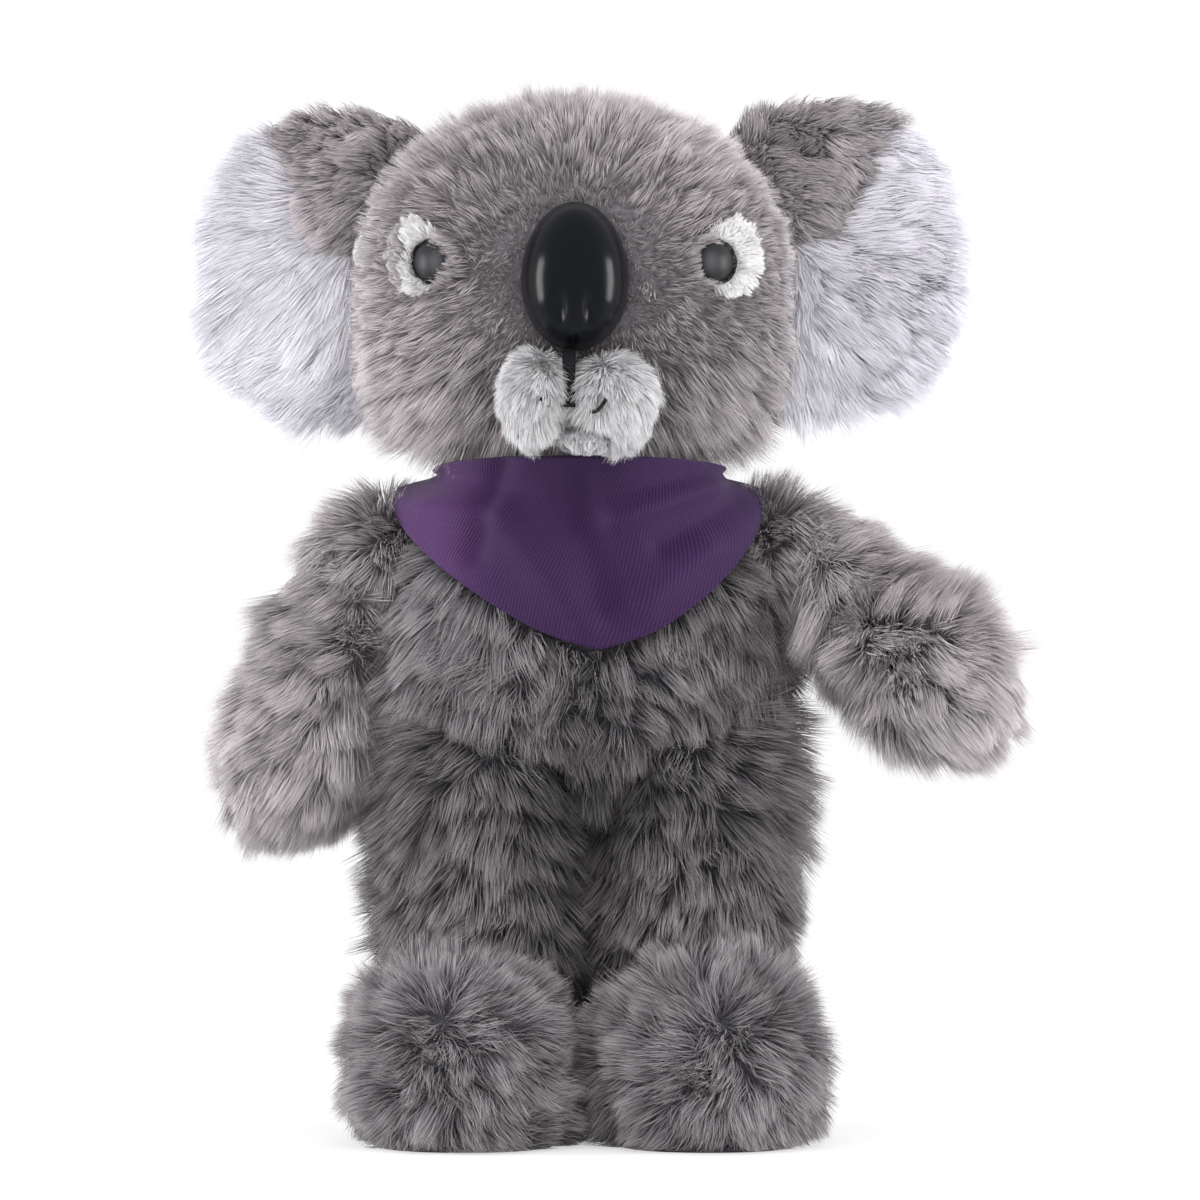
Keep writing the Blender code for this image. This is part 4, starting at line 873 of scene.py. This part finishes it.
def band_point(turn, down):
    """The middle of the cloth at a turn round the neck and a share of the way down it.

    A squared oval, whose width and depth come from the tables. Its height goes from the top to
    the edge, and each fold swells it outwards near the line from one of its ends to the other.
    """
    facing = (1 + np.cos(turn)) / 2
    away = np.degrees(np.arccos(np.clip(np.cos(turn), -1, 1)))
    top = TOP_HEIGHT + TOP_RISE * facing
    wide, front, back = (eased(table, down) for table in (BAND_WIDTH, BAND_FRONT, BAND_BACK))
    x = HALF_WIDTH * wide * bent(np.sin(turn))
    x = x + TIP_SHIFT * down**2 * np.clip(np.cos(turn), 0, 1) ** 2
    z = top + (eased(EDGE_HEIGHT, away) - top) * down
    depth = np.where(np.cos(turn) > 0, FRONT_DEPTH * front, BACK_DEPTH * back)
    swell = 0.0006 * np.sin(6 * turn + 2 * down) * np.sin(math.pi * down)
    for x1, z1, x2, z2, width, height in FOLDS:
        share = np.clip(((x - x1) * (x2 - x1) + (z - z1) * (z2 - z1)) / ((x2 - x1) ** 2 + (z2 - z1) ** 2), 0, 1)
        off = np.hypot(x - x1 - share * (x2 - x1), z - z1 - share * (z2 - z1))
        swell = swell + height * np.exp(-((off / width) ** 2)) * np.clip(2 * np.cos(turn), 0, 1)
    x = x + swell * np.sin(turn)
    y = -(depth + swell) * bent(np.cos(turn))
    return np.stack([x + NECK_MIDDLE[0], y + NECK_MIDDLE[1], z], axis=-1)


def cloth_loop(middle, edge_roll=0.5):
    """A cloth's cross-section loops from its middle surface: out along one side and back along the other."""
    along = np.roll(middle, -1, axis=0) - np.roll(middle, 1, axis=0)
    across = np.gradient(middle, axis=1)
    out = unit(np.cross(across, along))
    rows = middle.shape[1]
    reach = np.linspace(0, 1, rows) * (rows - 1)
    rolled = 1 + edge_roll * np.exp(-np.minimum(reach, rows - 1 - reach) / 1.2)
    half = out * (CLOTH_THICKNESS / 2 * rolled)[None, :, None]
    return np.concatenate([middle + half, (middle - half)[:, ::-1]], axis=1)


# %% Its twill
def twill_finish(name, deep, middle, light):
    """Diagonal ribs from two sine waves on the weave's own map in metres, with slow patches of wear and a painted
    highlight on the lobe on the toy's right.
    """
    finish = Finish(name, Roughness=0.78, Sheen_Weight=0.1, Sheen_Roughness=0.35, Specular_IOR_Level=0.2)
    place = finish.node("ShaderNodeUVMap", {"uv_map": WEAVE_MAP})
    u, v = finish.part(place, 0), finish.part(place, 1)
    turn = 2 * math.pi / 0.00092
    rib = ((u * 0.92 + v * 0.38) * turn).wave() * 0.5 + 0.5
    thread = ((u * 0.30 - v * 0.95) * (turn * 1.35)).wave() * 0.5 + 0.5
    raised = rib * 0.7 + thread * 0.3
    fibre = finish.noise(2600.0, 1.0)
    # Painted highlight: the cloth lightens over the lobe on the toy's right, as x falls from -30 to -50 mm.
    lobe = finish.stepped(finish.part(finish.place(), 0), -0.030, -0.050)
    wear_and_highlight = lobe * 0.8 + finish.noise(34.0, 2.0) * 0.3
    finish.feed("Base Color", finish.mixed(raised * 0.75 + fibre * 0.25, deep, finish.mixed(wear_and_highlight, middle, light)))
    finish.feed("Normal", finish.bumped(raised + fibre * 0.3, 0.00016, 0.8))
    return finish.material


# %% The cloth
twill = twill_finish("purple_twill", (0.012, 0.004, 0.022), (0.034, 0.0115, 0.060), (0.095, 0.036, 0.135))
# The cloth's loops start behind, and its map says how far round and how far down, in metres
turns = math.pi + full_turn(280)
band_middle = band_point(turns[:, None], np.linspace(0, 1, 46)[None, :])
steps_round = np.linalg.norm(np.diff(band_middle[:, 22], axis=0, append=band_middle[:1, 22]), axis=1)
down_place = np.cumsum(np.linalg.norm(np.diff(band_middle, axis=1, prepend=band_middle[:, :1]), axis=2), axis=1)
round_place = np.broadcast_to(np.cumsum(steps_round)[:, None], down_place.shape)
band_map = np.stack([round_place, down_place], axis=2)
band_map = np.concatenate([band_map, band_map[:, ::-1]], axis=1)
bandana = skin("bandana_cloth", cloth_loop(band_middle), twill, looped=True, weave=band_map)
stand_in(bandana, "bandana", "torso")
band_area = float(np.sum(down_place[:, -1] * steps_round))
print("bandana cloth area in square metres", round(band_area, 5))

# %% The knot behind the neck
knot_low, knot_high = box("bandana_knot")
fatter = np.array([0, 0.0008, 0])
knot_middle, knot_half = (knot_low + knot_high) / 2 - fatter, (knot_high - knot_low) / 2 + fatter
# A squared barrel that lies across: fat in its middle, with creases wound round it
rise, turn = np.meshgrid(np.linspace(0.06, math.pi - 0.06, 40), full_turn(64), indexing="ij")
wrap = 1 + 0.07 * np.sin(9 * rise + 1.3 * np.sin(turn)) * np.sin(rise) - 0.10 * np.exp(-((turn - 4.2) / 0.35) ** 2)
knot_grid = knot_middle + np.stack([
    -knot_half[0] * np.cos(rise) * (1 - 0.05 * np.sin(3 * turn)),
    knot_half[1] * bent(np.sin(rise)) * np.cos(turn) * wrap * 0.95,
    knot_half[2] * bent(np.sin(rise)) * np.sin(turn) * wrap * 0.95,
], axis=2)
knot_map = capped(np.stack([rise * 0.009, turn * 0.006], axis=2))
knot = skin("bandana_knot_cloth", knot_grid, twill, weave=knot_map)
stand_in(knot, "bandana_knot", "torso")
print("knot width in metres", round(2 * float(knot_half[0]), 4))

# %% Its two tails
TAIL_LENGTH = 0.0292
TAIL_HALF_WIDTH = 0.0068
TAIL_OUTLINE = ((0, 0.55), (0.25, 0.9), (0.5, 1.0), (0.75, 0.75), (1, 0.12))
# Each is a flat tube round a slanting line, as wide as its outline says, and curled a little
for side, sign in SIDES.items():
    tail_low, tail_high = box(f"bandana_tail_{side}")
    down, round_it = np.meshgrid(np.linspace(0, 1, 44), full_turn(28), indexing="ij")
    half = eased(TAIL_OUTLINE, down) * TAIL_HALF_WIDTH
    across = half * np.cos(round_it)
    far = TAIL_LENGTH * down
    slant = math.radians(24) * sign
    x = NECK_MIDDLE[0] + sign * 0.004 + far * math.sin(slant) + across * math.cos(slant)
    z = tail_high[2] - 0.0006 - far * math.cos(slant) + across * math.sin(slant)
    curl = 0.0007 * np.cos(2.2 * half * np.cos(round_it) / TAIL_HALF_WIDTH) * np.sin(math.pi * down)
    middle_y = (tail_low[1] + tail_high[1]) / 2 + 0.0004 * np.sin(7 * down)
    y = middle_y + 0.0005 * np.sin(round_it) + curl - 0.0004
    tail_map = capped(np.stack([across, far], axis=2))
    tail = skin(f"bandana_tail_{side}_cloth", np.stack([x, y, z], axis=2), twill, weave=tail_map)
    stand_in(tail, f"bandana_tail_{side}", "torso")

# %% [markdown]
# ## Nose and eyes
# Both are moulded in glossy plastic and pushed through the cloth on a shank. The nose is black,
# an egg with a duller rim and two shallow nostrils, which catch two small lights. The eyes are
# low smoky grey domes that darken towards their rims: the lighter middle is partly the plastic's
# own and partly a painted highlight. A lathe can't make an egg, so the nose is a stack of egg outlines.

# %% Glossy plastic
DULL = 0.42


def gloss_finish(name, colour, middle, half, fade, gloss, shine):
    """Plastic with fine moulding grain, which turns black and dull over the fade towards its rim.

    The rim is an ellipse seen from the front: 1 on it, and 0 at the middle.
    """
    finish = Finish(name, Specular_IOR_Level=shine)
    grain = finish.noise(420.0, 2.0)
    centred = finish.node("ShaderNodeMapping", {"vector_type": "POINT"}, {
        "Vector": finish.place(), "Location": (-middle[0] / half[0], 0, -middle[2] / half[2]),
        "Scale": (1 / half[0], 0, 1 / half[2]),
    })
    edge = finish.stepped(finish.length(centred), *fade)
    finish.feed("Base Color", finish.mixed(edge, colour, (0.010, 0.010, 0.012)))
    finish.feed("Roughness", grain * 0.05 + gloss + edge * (DULL - gloss))
    finish.feed("Normal", finish.bumped(grain, 0.00003))
    return finish.material


# %% The nose
NOSE_MIDDLE = np.array([-0.0089, -0.0385, 0.2492])
NOSE_HALF = np.array([0.0153, 0.0190, 0.0212])
RIM_DEPTH = 0.16
NOSE_RIM = ((0, 0.90), (0.06, 0.97), (RIM_DEPTH, 1.0))
NOSTRIL_X, NOSTRIL_Z, NOSTRIL_DEPTH = 0.0042, -0.0095, 0.0021
SHANK = np.array([[0.003, 0.014], [0.003, 0.0]])
# The egg's rings: as large as an ellipse at each depth, narrower at the top, with a rounded rim
turn = full_turn(112)
deep = np.concatenate([np.linspace(0, 0.90, 44), 0.90 + 0.10 * np.sin(np.linspace(0.1, math.pi / 2 - 0.06, 16))])
past = np.sqrt(np.clip(1 - ((deep - RIM_DEPTH) / 0.84) ** 2, 0, 1))
size = np.where(deep < RIM_DEPTH, eased(NOSE_RIM, np.minimum(deep, RIM_DEPTH)), past)
x = NOSE_HALF[0] * size[:, None] * np.cos(turn) * (1 - 0.05 * np.sin(turn))
z = NOSE_HALF[2] * size[:, None] * np.sin(turn)
# Two round dents, and a fine groove below them
dent = sum(
    NOSTRIL_DEPTH * np.exp(-(((x - place) / 0.0018) ** 2) - (((z - NOSTRIL_Z) / 0.0050) ** 2))
    for place in (-NOSTRIL_X, NOSTRIL_X)
)
dent = dent + 0.0006 * np.exp(-((x / 0.0008) ** 2)) * np.clip((-z - 0.0125) / 0.005, 0, 1)
egg = np.stack([x, -NOSE_HALF[1] * deep[:, None] + dent, z], axis=2)
radius, depth = SHANK[:, :1], np.repeat(SHANK[:, 1:], len(turn), axis=1)
shank = np.stack([radius * np.cos(turn), depth, radius * np.sin(turn)], axis=2)
nose_plastic = gloss_finish("nose_plastic", (0.002, 0.0025, 0.004), NOSE_MIDDLE, NOSE_HALF,
                            fade=(0.86, 0.99), gloss=0.17, shine=0.13)
nose = skin("nose_moulding", np.concatenate([shank, egg]) + NOSE_MIDDLE, nose_plastic)
stand_in(nose, "nose", "head")
print("nose faces", len(nose.data.polygons))

# %% The eyes
EYE_RADIUS = 0.0060
EYE_RISE = 0.0042
EYE_TURN = math.radians(47)
EYE_SUNK = 0.0012
# The profile from the shank's end to the dome's top is turned round the way that the eye looks
profile = [(0.0020, -0.0110), (0.0020, -0.0012), (EYE_RADIUS, -0.0012)]
profile += [(EYE_RADIUS * math.cos(a), EYE_RISE * math.sin(a)) for a in np.linspace(0, math.pi / 2 - 0.04, 22)]
radius, along = np.array(profile).T
round_it = full_turn(56)
for side, sign in SIDES.items():
    low, high = box(f"eye_{side}")
    middle = (low + high) / 2
    way = np.array([sign * math.sin(EYE_TURN), -math.cos(EYE_TURN), 0])
    cross = np.array([way[1], -way[0], 0])
    ring = np.cos(round_it)[:, None] * cross + np.sin(round_it)[:, None] * np.array([0, 0, 1.0])
    grid = radius[:, None, None] * ring + along[:, None, None] * way
    grid = grid + (middle - (grid.reshape(-1, 3).min(axis=0) + grid.reshape(-1, 3).max(axis=0)) / 2)
    grid = grid - EYE_SUNK * way
    # Partly the smoky plastic and partly a painted highlight: each dome's grey middle fades to black towards its
    # rim.
    smoky_and_highlit = gloss_finish(f"eye_plastic_{side}", (0.060, 0.060, 0.066), middle, (0.0042, 0, 0.0056),
                         fade=(0.0, 0.85), gloss=0.26, shine=0.3)
    eye = skin(f"eye_{side}_dome", grid, smoky_and_highlit)
    stand_in(eye, f"eye_{side}", "head")
    print(f"eye_{side} faces", len(eye.data.polygons))

# %% [markdown]
# ## Stitches, washers and soles
# Black thread draws the muzzle's seam and the mouth. The CAD's thread has the right path, so a
# copy of it is made fatter, because several passes of thread lie beside each other. The washers
# inside the head have their true shape already, and only get their nylon. Each sole is a flat
# panel of the backing cloth, with its edge turned in, and is drawn as a stack of rounded outlines.

# %% The stitches
black_thread = Finish("black_thread", Roughness=0.8, Specular_IOR_Level=0.1)
ply = black_thread.node("ShaderNodeTexWave", {"bands_direction": "DIAGONAL"}, {
    "Vector": black_thread.place(), "Scale": 420.0, "Distortion": 1.5,
})
black_thread.feed("Base Color", black_thread.mixed(ply, (0.003, 0.003, 0.004), (0.018, 0.018, 0.020)))
black_thread.feed("Normal", black_thread.bumped(ply, 0.0001))
FATTER = {
    "philtrum_stitch": (1.7, 1.3, 1.0),
    "mouth_stitch_left": (0.75, 2.4, 0.9),
    "mouth_stitch_right": (0.7, 1.0, 0.7),
}
for node, fatter in FATTER.items():
    stitch = merged_copy(node, f"{node}_thread")
    corners = read_shell(stitch)[0]
    middle = (corners.min(axis=0) + corners.max(axis=0)) / 2
    stitch.data.vertices.foreach_set("co", ((corners - middle) * fatter + middle).ravel())
    stitch.data.materials.append(black_thread.material)
    stitch.data.shade_smooth()
    stand_in(stitch, node, "head")
print("stitches", len(FATTER))

# %% The washers
nylon = Finish("natural_nylon", Specular_IOR_Level=0.4)
cloud = nylon.noise(160.0, 3.0)
nylon.feed("Base Color", nylon.mixed(cloud, (0.70, 0.70, 0.66), (0.80, 0.80, 0.77)))
nylon.feed("Roughness", cloud * 0.2 + 0.35)
nylon.feed("Normal", nylon.bumped(cloud, 0.00005))
for node in ("nose_washer", "eye_washer_right", "eye_washer_left"):
    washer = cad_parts[node].data
    washer.materials.clear()
    washer.materials.append(nylon.material)
    print(node, "faces", len(washer.polygons))

# %% The soles
# Each outline of a sole is a squared oval: its height, and its share of the sole's size
SOLE_RINGS = ((0.0, 0.93), (0.0, 0.975), (0.0004, 0.993), (0.0009, 1.0), (0.0015, 0.995), (0.0015, 0.94))
turn = full_turn(96)
for side in SIDES:
    low, high = box(f"sole_{side}")
    middle, half = (low + high) / 2, (high - low) / 2
    rings = [np.stack([
        middle[0] + half[0] * share * bent(np.cos(turn)),
        middle[1] + half[1] * share * bent(np.sin(turn)),
        np.full_like(turn, up),
    ], axis=1) for up, share in SOLE_RINGS]
    sole = skin(f"sole_{side}_panel", np.array(rings), dark_felt)
    stand_in(sole, f"sole_{side}", f"leg_{side}")
    2 * half[0]
    2 * half[1]
    float(3.3 * half[0] * half[1])
    print(f"sole_{side} flat size", (2 * half[:2]).round(4))

# %% [markdown]
# ## Camera, light and floor
# The photograph is taken from almost straight ahead, a little above the toy's middle. The light
# is soft: a large screen stands high in front, and a low tall one on each side draws a long
# highlight on the nose. The floor is paper that fades into the white world round it. It keeps
# the toy's shadow close by, and glows white further off, but only where it is seen directly.

# %% The camera
AIM = np.array([-0.0018, 0.0, 0.1565])
DISTANCE = 2.6
ELEVATION = math.radians(1)
lens = bpy.data.cameras.new("camera")
lens.lens = 270.0
lens.sensor_width = 36.0
camera = put("camera", lens)
camera.location = AIM + DISTANCE * np.array([0, -math.cos(ELEVATION), math.sin(ELEVATION)])
camera.rotation_euler = (math.pi / 2 - ELEVATION, 0, 0)
bpy.context.scene.camera = camera
print("camera at", [round(number, 3) for number in camera.location])


# %% The lights
def screen_light(name, place, size, watts):
    """A soft rectangular light that faces the middle of the toy."""
    data = bpy.data.lights.new(name, "AREA")
    data.shape = "RECTANGLE"
    data.size, data.size_y = size
    data.energy = watts
    made = put(name, data)
    made.location = place
    away = unit(np.array(place) - AIM)
    made.rotation_euler = (math.acos(away[2]), 0, math.atan2(away[1], away[0]) + math.pi / 2)
    return made


screen_light("left_screen", (-0.70, -0.12, 0.16), (0.20, 0.60), 5.2)
screen_light("right_screen", (0.70, -0.12, 0.16), (0.20, 0.60), 5.2)
screen_light("top_screen", (0.0, -1.6, 2.2), (4.5, 3.0), 68.0).visible_glossy = False
print("lights", len(bpy.data.lights))

# %% The world
WHITE = (1, 1, 1, 1)
world = bpy.data.worlds.new("studio")
bpy.context.scene.world = world
sky = Network(world)
soft = sky.node("ShaderNodeBackground", None, {"Color": WHITE, "Strength": 0.8})
plain = sky.node("ShaderNodeBackground", None, {"Color": WHITE, "Strength": 1.0})
both = sky.node("ShaderNodeMixShader", None, {0: sky.seen_directly(), 1: soft, 2: plain})
sky.set(sky.tree.nodes["World Output"].inputs["Surface"], both)
print("world nodes", len(sky.tree.nodes))

# %% The floor
REACH = 6.0
floor_mesh = bpy.data.meshes.new("floor")
floor_corners = [(-REACH, -REACH, 0), (REACH, -REACH, 0), (REACH, REACH, 0), (-REACH, REACH, 0)]
floor_mesh.from_pydata(floor_corners, [], [(0, 1, 2, 3)])
floor = put("floor", floor_mesh)
paper = Finish("paper", Base_Color=(0.9, 0.9, 0.9, 1.0), Roughness=0.9, Specular_IOR_Level=0.1)
lit = Wire(paper, paper.shader.outputs[0])
glow = paper.node("ShaderNodeEmission", None, {"Color": WHITE, "Strength": 1.0})
fade = paper.stepped(paper.length(paper.place()), 0.12, 0.55, low=0.6)
blend = paper.node("ShaderNodeMixShader", None, {0: paper.seen_directly() * fade, 1: lit, 2: glow})
paper.set(paper.tree.nodes["Material Output"].inputs["Surface"], blend)
floor_mesh.materials.append(paper.material)
bpy.context.scene.view_settings.view_transform = "Standard"

# %% Count the faces
pieces = [thing for thing in bpy.data.objects if thing.type == "MESH" and thing is not floor]
print("faces in all", sum(len(thing.data.polygons) for thing in pieces if not thing.hide_render))
